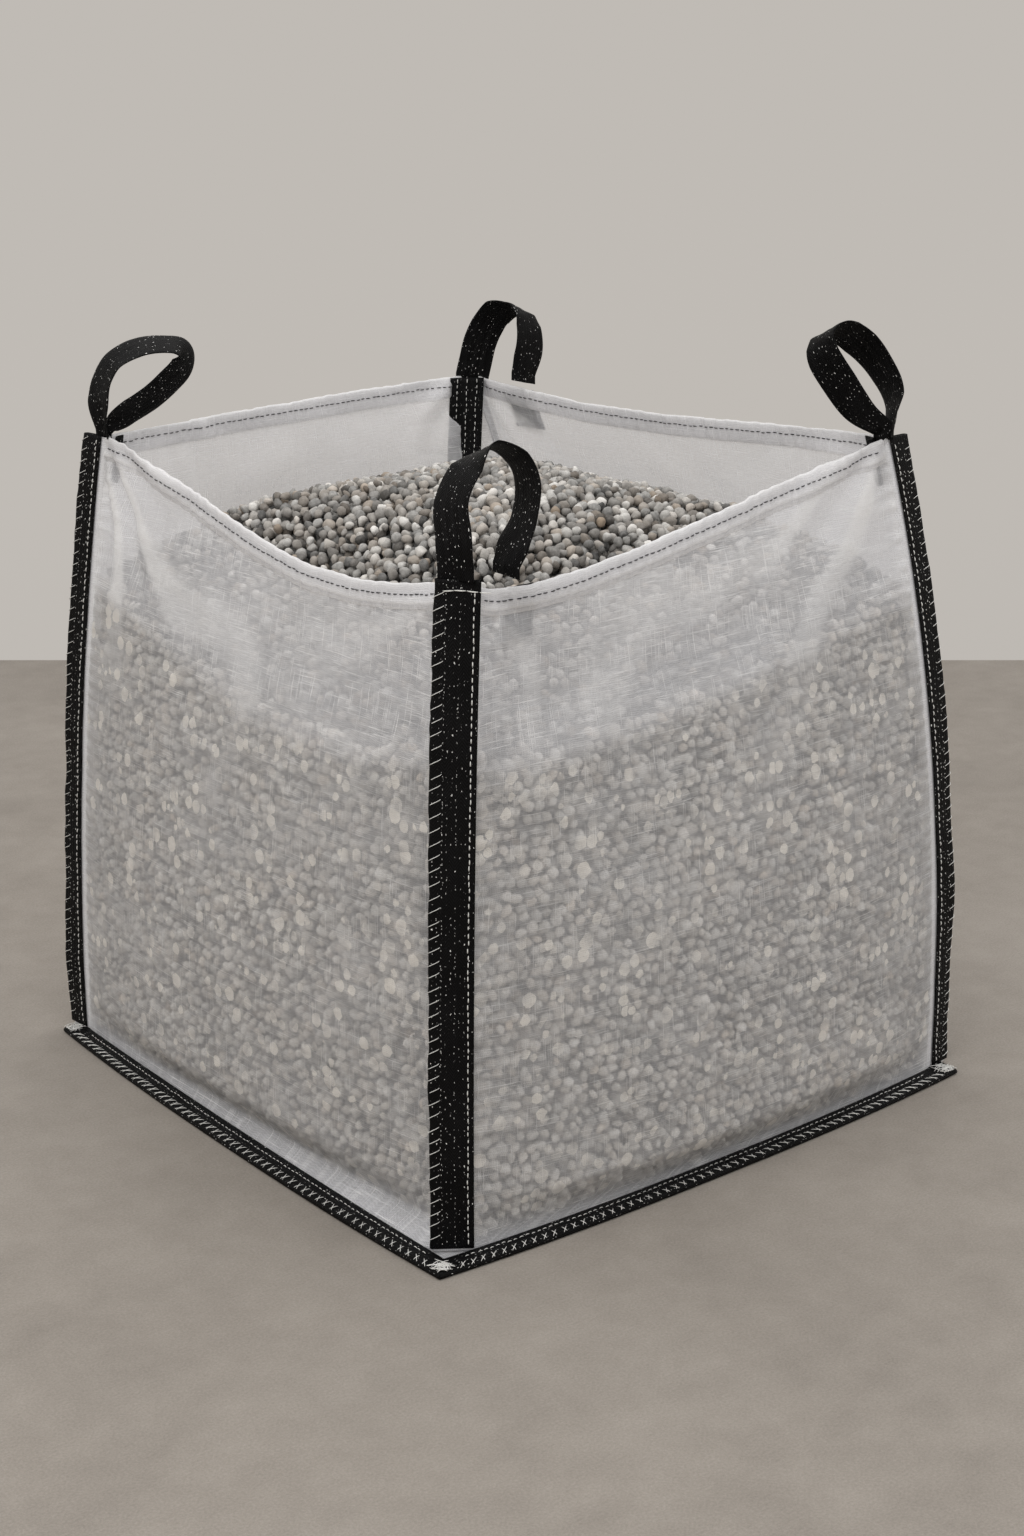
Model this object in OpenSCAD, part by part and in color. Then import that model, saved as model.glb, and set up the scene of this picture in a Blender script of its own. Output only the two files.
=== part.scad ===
// Open-top bulk bag: a square sack of woven fabric with webbing over its seams and four lifting loops,
// standing filled with gravel. The origin is at the centre of the base, on the surface that it stands on.
// +Z is up and -Y is the front. Corners and sides are numbered anticlockwise from the front left corner,
// and side k runs from corner k to corner k + 1.

/* [Bag] */
// Side of the square base at its corners, across the outer edges of the base bindings
base_w = 900; // [750:10:1100]
// Mean height of the mouth's corners above the floor
mouth_h = 860; // [650:10:1100]
// How far the mouth's corners stand in from the base corners below them
mouth_inset = 62; // [20:1:100]
// Thickness of the woven panels
panel_t = 1.2; // [0.8:0.1:2]
// Depth of the folded hem round the mouth
hem_w = 30; // [20:1:45]

/* [Webbing] */
// Width of the lifting webbing
webbing_w = 50; // [40:1:70]
// Thickness of all the webbing
webbing_t = 2; // [1.2:0.1:3]
// Width of the webbing folded over each corner seam
corner_fold_w = 46; // [34:1:60]
// Width of the webbing folded over each base seam, on the underside
base_fold_w = 40; // [34:1:60]
// How far the corner seams stand in from the base's edges
seam_inset = 30; // [26:1:45]
// Height of the lifting loops above the mouth's corners
loop_h = 150; // [100:5:250]
// Depth of the loops' sewn tails below the mouth
tail_h = 60; // [40:5:120]
// Depth of the long tail in the back right corner
long_tail_h = 230; // [120:10:400]

/* [Thread] */
// Width of the sewing thread
thread_w = 1.2; // [0.8:0.1:2]
// Length of one zigzag of the edge stitching
zigzag_pitch = 16; // [10:1:30]

/* [Fill] */
// How far below the mouth the gravel meets the walls
fill_drop = 195; // [100:5:400]
// Height of the gravel's mound over the bag's middle, above the mean of its edge
mound_h = 155; // [0:5:200]
// How far the filled walls stand out at their middle
belly = 46; // [20:1:60]

/* [Clearances] */
// Gap between sewn layers
layer_gap = 0.3; // [0.2:0.05:0.5]
// Gap between the gravel and the fabric
fill_gap = 3; // [2:0.5:6]
// Height of the loops' fold lines above the mouth's corners
fold_gap = 9; // [8:0.5:14]

/* [Hidden] */
SIDES = ["front", "right", "back", "left"];
CORNERS = ["front_left", "front_right", "back_right", "back_left"];

fabric_colour = [0.90, 0.91, 0.91, 0.55];
hem_colour = [0.96, 0.96, 0.96];
webbing_colour = [0.07, 0.07, 0.08];
thread_colour = [0.92, 0.92, 0.90];
hem_thread_colour = [0.30, 0.30, 0.32];
gravel_colour = [0.58, 0.57, 0.55];

// The slack of a real sack, corner by corner: each seam's shift in plan at its foot and at the mouth,
// the mouth corner's rise, and the way the bound seam points.
corner_sign = [[-1, -1], [1, -1], [1, 1], [-1, 1]];
foot_shift = [[36, 0], [0, 0], [0, 0], [0, 0]];
mouth_shift = [[16, -30], [1, 10], [-68, 72], [-15, 15]];
mouth_rise = [-45, 25, 18, 8];
fold_angle = [141, 8, 45, 100];

// The same, side by side: the sag of the mouth's edge, the power that moves its lowest point,
// the edge's bow, the belly's share and the bows of the base seam and of its binding.
hem_sag = [28, 20, -4, 58];
hem_skew = [0.45, 1.6, 1, 1.36];
mouth_bow = [-6, 18, 4, -10];
belly_share = [1.08, 1, 1, 0.84];
foot_bow = [16, 10, 10, 6];
edge_bow = [18, 12, 12, 14];

// Powers that shape the corners' lean, the slack's growth with height and the walls' plan
lean_power = 2.2;
slack_power = 3;
plan_power = 2.4;
mound_power = 2.6;
// Height at which the belly is full
belly_z = 70;

// Steps along a side, up a wall and along a loop
side_steps = 16;
wall_steps = 12;
row_power = 1.6;
loop_steps = 40;

// The stacked layers of the base's bound edge, from the floor up to the thread that holds its corners
base_sheet_z = webbing_t + layer_gap;
lip_z = base_sheet_z + panel_t + layer_gap;
upper_leg_z = lip_z + panel_t + layer_gap;
bound_edge_h = upper_leg_z + webbing_t;
wall_z = bound_edge_h + thread_w + 2 * layer_gap;

// Half thickness of the slot in a corner binding, and of the whole binding
corner_slot = layer_gap / 2 + panel_t + layer_gap;
corner_half_t = corner_slot + webbing_t;
// Distances of each corner binding's two inner edges from the seam, its left-hand edge first:
// the near one lies flat over its seam
corner_edge = [[-7, 8], [8, 8], [8, 8], [8, 8]];

// Stitch lines: distance of the straight row from a binding's inner edge, and width of the zigzag
row_inset = 7;
zigzag_w = 12;
zigzag_inset = 1;
thread_gap = layer_gap / 2;
hem_row = 13;

// Room between a panel and its hem's inner fold and between a hem and its stitches, where the cloth twists
hem_room = 3 * layer_gap;
hem_out = 1.5 * layer_gap + 2 * panel_t;

// Distances of the tails' near faces from a wall, over the hem and over the hem's stitches,
// how far the tails start below the mouth's edge and how much further a folded tail's crease stands off
tail_off = hem_room + panel_t + 3.5 * layer_gap;
outer_tail_off = hem_out + hem_room + thread_w / 2 + 2 * layer_gap;
tail_drop = 1;
crease_off = 1;
// Where the flat tails lie along their sides
front_tail_s = 0.055;
outer_tail_s = 0.925;

// The loops' middle lines, as shares of 150 mm of height, from the leg that starts on the corner
LOOP_UNIT = 150;
loop_route = [
    [[0, 0, 0], [-5, 5, 35], [0, 15, 75], [25, 15, 110], [60, 15, 130],
     [90, 5, 116], [98, -5, 86], [88, -10, 50], [72, -12, 20], [64, -13, 0]],
    [[0, 0, 0], [12, -4, 35], [4, 0, 80], [-22, 8, 122], [-52, 16, 148],
     [-85, 25, 130], [-98, 28, 110], [-70, 22, 60], [-38, 14, 22], [-14, 14, 0]],
    [[0, 0, 0], [-12, 4, 40], [-12, -4, 78], [6, -28, 106], [30, -58, 112],
     [44, -84, 96], [40, -96, 62], [26, -96, 30], [14, -92, 0]],
    [[0, 0, 0], [-14, 2, 50], [-10, 0, 86], [12, -4, 112], [60, -18, 120],
     [102, -30, 105], [114, -34, 88], [94, -28, 56], [60, -20, 30], [28, -14, 12], [14, -14, 0]]
];
// Plan angles of the webbing's width at a loop's first leg, crown and last leg
loop_twist = [[315, 285, 360], [35, 90, 45], [320, 355, 285], [215, 265, 225]];
// Where each loop's first leg stands: its distance from the corner seam and that way's plan angle
loop_stand = [[22, 141], [9, 315], [-12, 45], [9, 135]];
// Share of the webbing's width that a leg keeps where it is gathered at its foot
foot_share = 0.42;
gather = 0.14;
// How soon a loop takes its crown's twist, and the share of its length over which its way is taken
twist_rate = 1.6;
loop_look = 0.2 / loop_steps;

function unit(a) = [cos(a), sin(a)];
function lerp(a, b, s) = a + (b - a) * s;
function smooth(a, b, x) = let (u = max(0, min(1, (x - a) / (b - a)))) u * u * (3 - 2 * u);
function next(k) = (k + 1) % 4;
function last(k) = (k + 3) % 4;
function up(p, z) = [p[0], p[1], z];

// Half width of the sack between its corner seams, and a seam's place at a height
function half_w(z) = base_w / 2 - seam_inset - mouth_inset * pow(z / mouth_h, lean_power);
function seam(k, z) =
    corner_sign[k] * half_w(z) + lerp(foot_shift[k], mouth_shift[k], pow(z / mouth_h, slack_power));

function corner_z(k) = mouth_h + mouth_rise[k];
function side_normal(k) = unit(270 + 90 * k);
function across(s) = 1 - pow(abs(2 * s - 1), plan_power);

// Height of the mouth's edge along a side
function hem_z(k, s) =
    lerp(corner_z(k), corner_z(next(k)), s) - hem_sag[k] * sin(180 * pow(s, hem_skew[k]));

// The same height on the straight runs between the side's own steps
function chord_z(k, s) =
    let (i = min(side_steps - 1, floor(s * side_steps)))
    lerp(hem_z(k, i / side_steps), hem_z(k, (i + 1) / side_steps), s * side_steps - i);

// How far a wall stands out from the straight line between its seams
function wall_out(k, s, z) =
    let (full = lerp(foot_bow[k], belly * belly_share[k], smooth(wall_z, belly_z, z)))
    across(s) * (full * max(0, 1 - pow(z / mouth_h, 2)) + mouth_bow[k] * pow(z / mouth_h, slack_power));

// A point d outside the line of a wall's seams
function wall_point(k, s, z, d = 0) =
    up(lerp(seam(k, z), seam(next(k), z), s) + side_normal(k) * (wall_out(k, s, z) + d), z);

// Distances of the base seam and of its binding's edge from the middle of the base
function foot_line(k, s) = half_w(0) + foot_bow[k] * across(s);
function edge_line(k, s) = base_w / 2 + edge_bow[k] * across(s);

// A point of side k at distance out from the base's middle, where corner_out is that distance at its corners
function base_point(k, s, corner_out, out, z) =
    let (n = side_normal(k), along = [-n[1], n[0]])
    up(n * out + along * (2 * s - 1) * corner_out, z);

// Height of the gravel where it meets a wall
function fill_z(k, s) = hem_z(k, s) - fill_drop;

// Heights of the rows of a wall: they crowd towards the floor, and end at the hem and the mouth
function wall_row(top, j) =
    j > wall_steps ? top - panel_t - 2 * layer_gap
    : lerp(wall_z, top - hem_w, pow(j / wall_steps, row_power));

// Closed solid between two grids of points
module sheet_solid(front, back) {
    rows = len(front);
    cols = len(front[0]);
    size = rows * cols;
    function at(j, i, side) = side * size + j * cols + i;
    function quad(a, b, c, d) = [[a, b, c], [a, c, d]];
    polyhedron(
        points = concat([for (row = front) each row], [for (row = back) each row]),
        faces = [
            for (j = [0:rows - 2]) for (i = [0:cols - 2])
                each quad(at(j, i, 0), at(j + 1, i, 0), at(j + 1, i + 1, 0), at(j, i + 1, 0)),
            for (j = [0:rows - 2]) for (i = [0:cols - 2])
                each quad(at(j, i, 1), at(j, i + 1, 1), at(j + 1, i + 1, 1), at(j + 1, i, 1)),
            for (i = [0:cols - 2])
                each quad(at(0, i, 0), at(0, i + 1, 0), at(0, i + 1, 1), at(0, i, 1)),
            for (i = [0:cols - 2])
                each quad(at(rows - 1, i, 1), at(rows - 1, i + 1, 1), at(rows - 1, i + 1, 0),
                          at(rows - 1, i, 0)),
            for (j = [0:rows - 2])
                each quad(at(j, 0, 1), at(j + 1, 0, 1), at(j + 1, 0, 0), at(j, 0, 0)),
            for (j = [0:rows - 2])
                each quad(at(j, cols - 1, 0), at(j + 1, cols - 1, 0), at(j + 1, cols - 1, 1),
                          at(j, cols - 1, 1))
        ]
    );
}

// Ways to fill the two end rings of a solid: a fan for a convex ring, and pieces for the folded sections
function fan(n) = [for (i = [1:n - 2]) [0, i, i + 1]];
ANGLE_CAP = [[0, 1, 2], [0, 2, 3], [0, 3, 4], [0, 4, 5]];
FOLD_CAP = [[0, 1, 6], [0, 6, 7], [1, 2, 5], [1, 5, 6], [2, 3, 4], [2, 4, 5]];

// Closed solid through a list of rings of points
module ring_solid(rings, cap = undef) {
    n = len(rings[0]);
    last_ring = (len(rings) - 1) * n;
    ends = is_undef(cap) ? fan(n) : cap;
    polyhedron(
        points = [for (ring = rings) each ring],
        faces = [
            each ends,
            for (f = ends) [last_ring + f[2], last_ring + f[1], last_ring + f[0]],
            for (j = [0:len(rings) - 2]) for (i = [0:n - 1])
                let (a = j * n + i, b = j * n + (i + 1) % n)
                each [[a, a + n, b + n], [a, b + n, b]]
        ]
    );
}

// The bend where a panel turns from its wall into the corner binding
function mitre(fold_normal, wall_normal) = (fold_normal + wall_normal) / (1 + fold_normal * wall_normal);

// One row of a side panel, d outside its inner face: seam allowance, wall, seam allowance
function panel_row(k, j, d) =
    let (
        reach = corner_fold_w - webbing_t - layer_gap,
        off = layer_gap / 2 + d,
        z0 = wall_row(corner_z(k), j),
        z1 = wall_row(corner_z(next(k)), j),
        n = side_normal(k),
        q0 = unit(fold_angle[k] + 90),
        q1 = unit(fold_angle[next(k)] - 90)
    )
    [
        up(seam(k, z0) + unit(fold_angle[k]) * reach + q0 * off, z0),
        up(seam(k, z0) + mitre(q0, n) * off, z0),
        for (i = [1:side_steps - 1])
            let (s = i / side_steps) wall_point(k, s, wall_row(hem_z(k, s), j), off),
        up(seam(next(k), z1) + mitre(q1, n) * off, z1),
        up(seam(next(k), z1) + unit(fold_angle[next(k)]) * reach + q1 * off, z1)
    ];

module side_panel(k) {
    lip_ends = 0.04;
    color(fabric_colour) {
        sheet_solid([for (j = [0:wall_steps + 1]) panel_row(k, j, panel_t)],
                    [for (j = [0:wall_steps + 1]) panel_row(k, j, 0)]);
        ring_solid([
            for (i = [0:side_steps])
                let (
                    s = lerp(lip_ends, 1 - lip_ends, i / side_steps),
                    foot = foot_line(k, s) + layer_gap / 2,
                    edge = edge_line(k, s) - webbing_t - layer_gap,
                    corner = half_w(0)
                )
                [
                    base_point(k, s, corner, foot, lip_z),
                    base_point(k, s, corner, foot, wall_z - layer_gap),
                    base_point(k, s, corner, foot + panel_t, wall_z - layer_gap),
                    base_point(k, s, corner, foot + panel_t, lip_z + panel_t),
                    base_point(k, s, corner, edge, lip_z + panel_t),
                    base_point(k, s, corner, edge, lip_z)
                ]
        ], ANGLE_CAP);
    }
}

// Plan outline of the base, inset from the bindings' outer edges
module base_outline(inset) {
    polygon([
        for (k = [0:3]) for (i = [0:side_steps - 1])
            let (s = i / side_steps, p = base_point(k, s, base_w / 2 - inset, edge_line(k, s) - inset, 0))
            [p[0], p[1]]
    ]);
}

module base_panel() {
    color(fabric_colour) {
        linear_extrude(base_sheet_z + panel_t) base_outline(base_fold_w + layer_gap);
        translate([0, 0, base_sheet_z])
            linear_extrude(panel_t) base_outline(webbing_t + layer_gap);
    }
}

// Folded hem over a panel's top edge, stopping short of the corner bindings
module mouth_hem(k) {
    ends = 0.016;
    color(hem_colour)
        ring_solid([
            for (i = [0:side_steps])
                let (
                    s = i == 0 ? ends : i == side_steps ? 1 - ends : i / side_steps,
                    top = chord_z(k, s),
                    low = top - hem_w + layer_gap,
                    bridge = top - panel_t,
                    inner = layer_gap / 2 - hem_room,
                    outer = hem_out - panel_t
                )
                [
                    wall_point(k, s, low, inner - panel_t),
                    wall_point(k, s, top, inner - panel_t),
                    wall_point(k, s, top, outer + panel_t),
                    wall_point(k, s, low, outer + panel_t),
                    wall_point(k, s, low, outer),
                    wall_point(k, s, bridge, outer),
                    wall_point(k, s, bridge, inner),
                    wall_point(k, s, low, inner)
                ]
        ], FOLD_CAP);
}

// A point of a corner binding: r along the fold from the seam and h across it
function fold_point(k, z, r, h) =
    up(seam(k, z) + unit(fold_angle[k]) * r + unit(fold_angle[k] - 90) * h, z);

module corner_binding(k) {
    ra = corner_edge[k][1];
    rb = corner_edge[k][0];
    r1 = corner_fold_w;
    slot = corner_slot;
    h = corner_half_t;
    color(webbing_colour)
        ring_solid([
            for (j = [0:wall_steps + 1])
                let (z = wall_row(corner_z(k), j))
                [for (p = [[ra, h], [r1, h], [r1, -h], [rb, -h], [rb, -slot],
                           [r1 - webbing_t, -slot], [r1 - webbing_t, slot], [ra, slot]])
                    fold_point(k, z, p[0], p[1])]
        ], FOLD_CAP);
}

// Flat thread along a list of points, mitred at each, standing up from the surface whose normal is n
module thread(points, n) {
    steps = len(points) - 1;
    lift = n * thread_w / 2;
    function way(i) = let (v = cross(n, points[i + 1] - points[i])) v / norm(v);
    ring_solid([
        for (i = [0:steps])
            let (w = mitre(way(max(0, i - 1)), way(min(steps - 1, i))) * thread_w / 2, p = points[i])
            [p + w, p - w, p - w + lift, p + w + lift]
    ]);
}

// Straight row beside a corner binding's inner edge, on both of its faces
module corner_stitching(k) {
    normal = up(unit(fold_angle[k] - 90), 0);
    color(thread_colour)
        for (leg = [0, 1])
            let (side = 2 * leg - 1)
            thread([
                for (j = [0:wall_steps + 1])
                    fold_point(k, wall_row(corner_z(k), j), corner_edge[k][leg] + row_inset,
                               side * (corner_half_t + thread_gap))
            ], side * normal);
}

// Height along a corner's zigzag, and the corner seam between the wall's own rows
function row_share(z, top) = pow((z - wall_z) / (top - hem_w - wall_z), 1 / row_power) * wall_steps;
function chord_seam(k, z) =
    let (
        top = corner_z(k),
        j = z >= top - hem_w ? wall_steps : floor(row_share(z, top)),
        z0 = wall_row(top, j),
        z1 = wall_row(top, j + 1)
    )
    lerp(seam(k, z0), seam(k, z1), (z - z0) / (z1 - z0));

// Zigzag over a corner binding's outer edge, on the face that shows
module corner_overlock(k) {
    bottom = wall_z + zigzag_pitch;
    count = floor((corner_z(k) - 2 * zigzag_pitch - bottom) / zigzag_pitch);
    out = unit(fold_angle[k]);
    n = unit(fold_angle[k] - 90);
    color(thread_colour)
        thread([
            for (i = [0:count]) for (half = [0, 1])
                let (
                    z = bottom + (i + half / 2) * zigzag_pitch,
                    r = corner_fold_w - zigzag_inset - (half == 0 ? 0 : zigzag_w)
                )
                up(chord_seam(k, z) + out * r + n * (corner_half_t + 2 * thread_gap), z)
        ], up(n, 0));
}

// Folded webbing over the base seam, mitred at the corners
module base_binding(k) {
    corner = base_w / 2;
    color(webbing_colour)
        ring_solid([
            for (i = [0:side_steps])
                let (
                    s = i / side_steps,
                    edge = edge_line(k, s),
                    inner = foot_line(k, s) + panel_t + 3 * layer_gap,
                    upper_corner = half_w(0) + panel_t + 3 * layer_gap,
                    g = layer_gap
                )
                [
                    base_point(k, s, corner - base_fold_w - g, edge - base_fold_w, 0),
                    base_point(k, s, corner - g, edge, 0),
                    base_point(k, s, corner - g, edge, bound_edge_h),
                    base_point(k, s, upper_corner - g, inner, bound_edge_h),
                    base_point(k, s, upper_corner - g, inner, upper_leg_z),
                    base_point(k, s, corner - webbing_t - g, edge - webbing_t, upper_leg_z),
                    base_point(k, s, corner - webbing_t - g, edge - webbing_t, webbing_t),
                    base_point(k, s, corner - base_fold_w - g, edge - base_fold_w, webbing_t)
                ]
        ], FOLD_CAP);
}

// Straight row and zigzag on top of a base binding
module base_stitching(k) {
    z = bound_edge_h + thread_gap;
    ends = 0.06;
    count = floor(base_w * (1 - 2 * ends) / zigzag_pitch);
    color(thread_colour) {
        thread([
            for (i = [0:side_steps])
                let (s = lerp(ends, 1 - ends, i / side_steps))
                base_point(k, s, base_w / 2, edge_line(k, s) - zigzag_w - row_inset, z)
        ], [0, 0, 1]);
        thread([
            for (i = [0:count]) for (half = [0, 1])
                let (s = lerp(ends, 1 - ends, (i + half / 2) / (count + 1)))
                base_point(k, s, base_w / 2,
                           edge_line(k, s) - 2 * zigzag_inset - (half == 0 ? 0 : zigzag_w), z)
        ], [0, 0, 1]);
    }
}

// Row of stitches along the hem, on its outer face
module hem_stitching(k) {
    ends = 0.03;
    color(hem_thread_colour)
        thread([
            for (i = [0:side_steps])
                let (s = i == 0 ? ends : i == side_steps ? 1 - ends : i / side_steps)
                wall_point(k, s, chord_z(k, s) - hem_row, hem_out + hem_room)
        ], up(side_normal(k), 0));
}

// Bunch of bar tacks over the crossing of the base bindings at a corner
module corner_tack(k) {
    bar = [14, thread_w, thread_w];
    pitch = 3 * thread_w;
    inset = 11;
    color(thread_colour)
        translate(up(corner_sign[k] * (base_w / 2 - inset), bound_edge_h + thread_gap))
            rotate(90 * k)
                for (i = [-1:1])
                    translate([-bar[0] / 2, i * pitch - bar[1] / 2, 0])
                        cube(bar);
}

// Webbing sewn flat against wall k below the mouth, from share s0 to s1 of its width, at offset d
module wall_tail(k, s0, s1, depth, d) {
    rows = 4;
    function grid(off) = [
        for (j = [0:rows]) [
            for (i = [0:2])
                let (s = lerp(s0, s1, i / 2), top = min(hem_z(k, s0), hem_z(k, s1)) - tail_drop)
                wall_point(k, s, top - depth * (1 - j / rows), off)
        ]
    ];
    color(webbing_colour)
        sheet_solid(grid(d + webbing_t), grid(d));
}

// Webbing folded into a corner inside the sack, half on each wall
module corner_tail(k, depth) {
    rows = 6;
    wing = webbing_w / 2;
    top = corner_z(k) - tail_drop;
    inward = -side_normal(k) - side_normal(last(k));
    function grid(d) = [
        for (j = [0:rows])
            let (z = top - depth * (1 - j / rows), share = wing / (2 * half_w(z)))
            [wall_point(last(k), 1 - share, z, -d),
             up(seam(k, z) + inward * (d + crease_off), z),
             wall_point(k, share, z, -d)]
    ];
    color(webbing_colour)
        sheet_solid(grid(tail_off), grid(tail_off + webbing_t));
}

module loop_tail(k) {
    width = webbing_w / (2 * half_w(mouth_h));
    if (k == 0) {
        wall_tail(0, front_tail_s, front_tail_s + width, tail_h, -tail_off - webbing_t);
    } else {
        corner_tail(k, k == 2 ? long_tail_h : tail_h);
    }
}

module loop_tail_outer_back_right() {
    width = webbing_w / (2 * half_w(mouth_h));
    wall_tail(1, outer_tail_s - width, outer_tail_s, tail_h, outer_tail_off);
}

// Where a loop's first leg starts, on its fold line
function loop_start(k) =
    up(seam(k, corner_z(k)) + unit(loop_stand[k][1]) * loop_stand[k][0], corner_z(k) + fold_gap);

// A point of a Catmull-Rom curve through a list of points, and the same list carried past its ends
function spline(p, u) =
    let (
        i = min(floor(u), len(p) - 4),
        t = u - i,
        a = p[i], b = p[i + 1], c = p[i + 2], d = p[i + 3]
    )
    0.5 * (2 * b + (c - a) * t + (2 * a - 5 * b + 4 * c - d) * t * t + (3 * b - a - 3 * c + d) * t * t * t);
function carried(p) =
    let (n = len(p)) concat([2 * p[0] - p[1]], p, [2 * p[n - 1] - p[n - 2]]);
function normal_to(w, t) = let (v = w - t * (w * t)) v / norm(v);

module lifting_loop(k) {
    route = carried(loop_route[k] * loop_h / LOOP_UNIT);
    spans = len(route) - 3;
    start = loop_start(k);
    color(webbing_colour)
        ring_solid([
            for (j = [0:loop_steps])
                let (
                    u = j / loop_steps,
                    p = start + spline(route, u * spans),
                    ahead = spline(route, min(1, u + loop_look) * spans),
                    behind = spline(route, max(0, u - loop_look) * spans),
                    t = (ahead - behind) / norm(ahead - behind),
                    turn = smooth(0, 1, min(1, twist_rate * sin(180 * u))),
                    twist = loop_twist[k],
                    angle = lerp(u < 0.5 ? twist[0] : twist[2], twist[1], turn),
                    w = normal_to(up(unit(angle), 0), t),
                    n = cross(t, w),
                    kept = lerp(foot_share, 1, smooth(0, gather, min(u, 1 - u))),
                    hw = w * kept * webbing_w / 2,
                    ht = n * webbing_t / 2
                )
                [p - hw - ht, p - hw / 3 - ht, p + hw / 3 - ht, p + hw - ht,
                 p + hw + ht, p + hw / 3 + ht, p - hw / 3 + ht, p - hw + ht]
        ], FOLD_CAP);
}

// Gravel: rings on the walls' own rows up to the fill line, then rings that close in over the mound.
// Its corners stand clear of the folded tails.
module gravel_fill() {
    floor_z = base_sheet_z + panel_t + layer_gap;
    peak = mouth_h - fill_drop + mound_h;
    under_edge = 40;
    rows = [for (j = [0:wall_steps]) if (wall_row(mouth_h, j) < mouth_h - fill_drop - under_edge) j];
    mound = [0.94, 0.86, 0.75, 0.62, 0.48, 0.33, 0.18];
    corner_gap = tail_off + webbing_t + fill_gap;
    function place(k, s, z) =
        s == 0 ? up(seam(k, z) - corner_sign[k] * corner_gap, z) : wall_point(k, s, z, -fill_gap);
    function ring(share, height) = [
        for (k = [0:3]) for (i = [0:side_steps - 1])
            let (
                s = i / side_steps,
                z = height == "floor" ? floor_z
                    : height == "edge" ? fill_z(k, s)
                    : wall_row(hem_z(k, s), height),
                p = place(k, s, z)
            )
            up([p[0], p[1]] * share, share == 1 ? z : lerp(peak, z, pow(share, mound_power)))
    ];
    color(gravel_colour)
        ring_solid([
            ring(1, "floor"),
            for (j = rows) ring(1, j),
            ring(1, "edge"),
            for (share = mound) ring(share, "edge")
        ]);
}

base_panel();
gravel_fill();
loop_tail_outer_back_right();
for (k = [0:3]) {
    side_panel(k);
    mouth_hem(k);
    base_binding(k);
    base_stitching(k);
    hem_stitching(k);
    corner_binding(k);
    corner_stitching(k);
    corner_overlock(k);
    corner_tack(k);
    lifting_loop(k);
    loop_tail(k);
}
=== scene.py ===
import math

import bmesh
import bpy
import numpy as np
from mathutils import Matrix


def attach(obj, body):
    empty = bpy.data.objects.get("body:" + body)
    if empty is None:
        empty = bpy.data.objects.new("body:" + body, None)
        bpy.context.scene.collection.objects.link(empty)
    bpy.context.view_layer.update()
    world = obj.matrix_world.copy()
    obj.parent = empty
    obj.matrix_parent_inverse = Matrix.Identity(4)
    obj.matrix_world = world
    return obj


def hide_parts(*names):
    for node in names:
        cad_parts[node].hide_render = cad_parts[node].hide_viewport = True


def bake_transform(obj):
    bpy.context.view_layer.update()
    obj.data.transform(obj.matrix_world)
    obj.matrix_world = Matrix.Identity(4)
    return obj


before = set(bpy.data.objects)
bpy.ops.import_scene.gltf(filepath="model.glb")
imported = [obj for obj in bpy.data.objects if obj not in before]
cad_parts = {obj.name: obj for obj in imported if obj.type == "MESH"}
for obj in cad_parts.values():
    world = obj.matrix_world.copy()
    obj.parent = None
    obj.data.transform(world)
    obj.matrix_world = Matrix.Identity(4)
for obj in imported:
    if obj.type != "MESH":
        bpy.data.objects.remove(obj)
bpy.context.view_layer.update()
scene = bpy.context.scene

# ---------------------------------------------------------------- the bag's sizes, in metres
SIDES = ("front", "right", "back", "left")
CORNERS = ("front_left", "front_right", "back_right", "back_left")
BASE_W, MOUTH_H, MOUTH_INSET, SEAM_INSET = 0.900, 0.860, 0.062, 0.030
WEB_W, WEB_T, PANEL_T, GAP = 0.050, 0.002, 0.0012, 0.0003
WALL_W = 0.84  # a wall between its seams at the foot
CLOTH_OFF = 0.00075  # from a seam or a foot line to the middle of the cloth beside it
IMPRINT_STEP = 0.0025
CORNER_FOLD = 0.046
HEM_ROW = 0.0130  # the hem's stitches, below its top edge
CAMERA_YAW = 38.654
CORNER_EDGE = ((-0.007, 0.008), (0.008, 0.008), (0.008, 0.008), (0.008, 0.008))
TAIL_H, LONG_TAIL_H = 0.060, 0.230
FILL_DROP, MOUND_H, FOLD_GAP = 0.195, 0.155, 0.009
SIGN = np.array([[-1, -1], [1, -1], [1, 1], [-1, 1]], float)
FOOT_SHIFT = np.array([[36, 0], [0, 0], [0, 0], [0, 0]]) / 1000
SHIFT = np.array([[16, -30], [1, 10], [-68, 72], [-15, 15]]) / 1000
RISE = (-0.045, 0.025, 0.018, 0.008)
FOLD_ANGLE = (141, 8, 45, 100)
SAG = (0.028, 0.020, -0.004, 0.058)
SKEW = (0.45, 1.6, 1.0, 1.36)
BOW = (-0.006, 0.018, 0.004, -0.010)
BELLY = (0.0497, 0.046, 0.046, 0.0386)
FOOT = (0.016, 0.010, 0.010, 0.006)
EDGE = (0.018, 0.012, 0.012, 0.014)
UPPER_LEG_Z, BOUND_H, WALL_Z, BELLY_Z = 0.0053, 0.0073, 0.0091, 0.070
SLOT = 0.00165
HALF_T = SLOT + WEB_T
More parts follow.
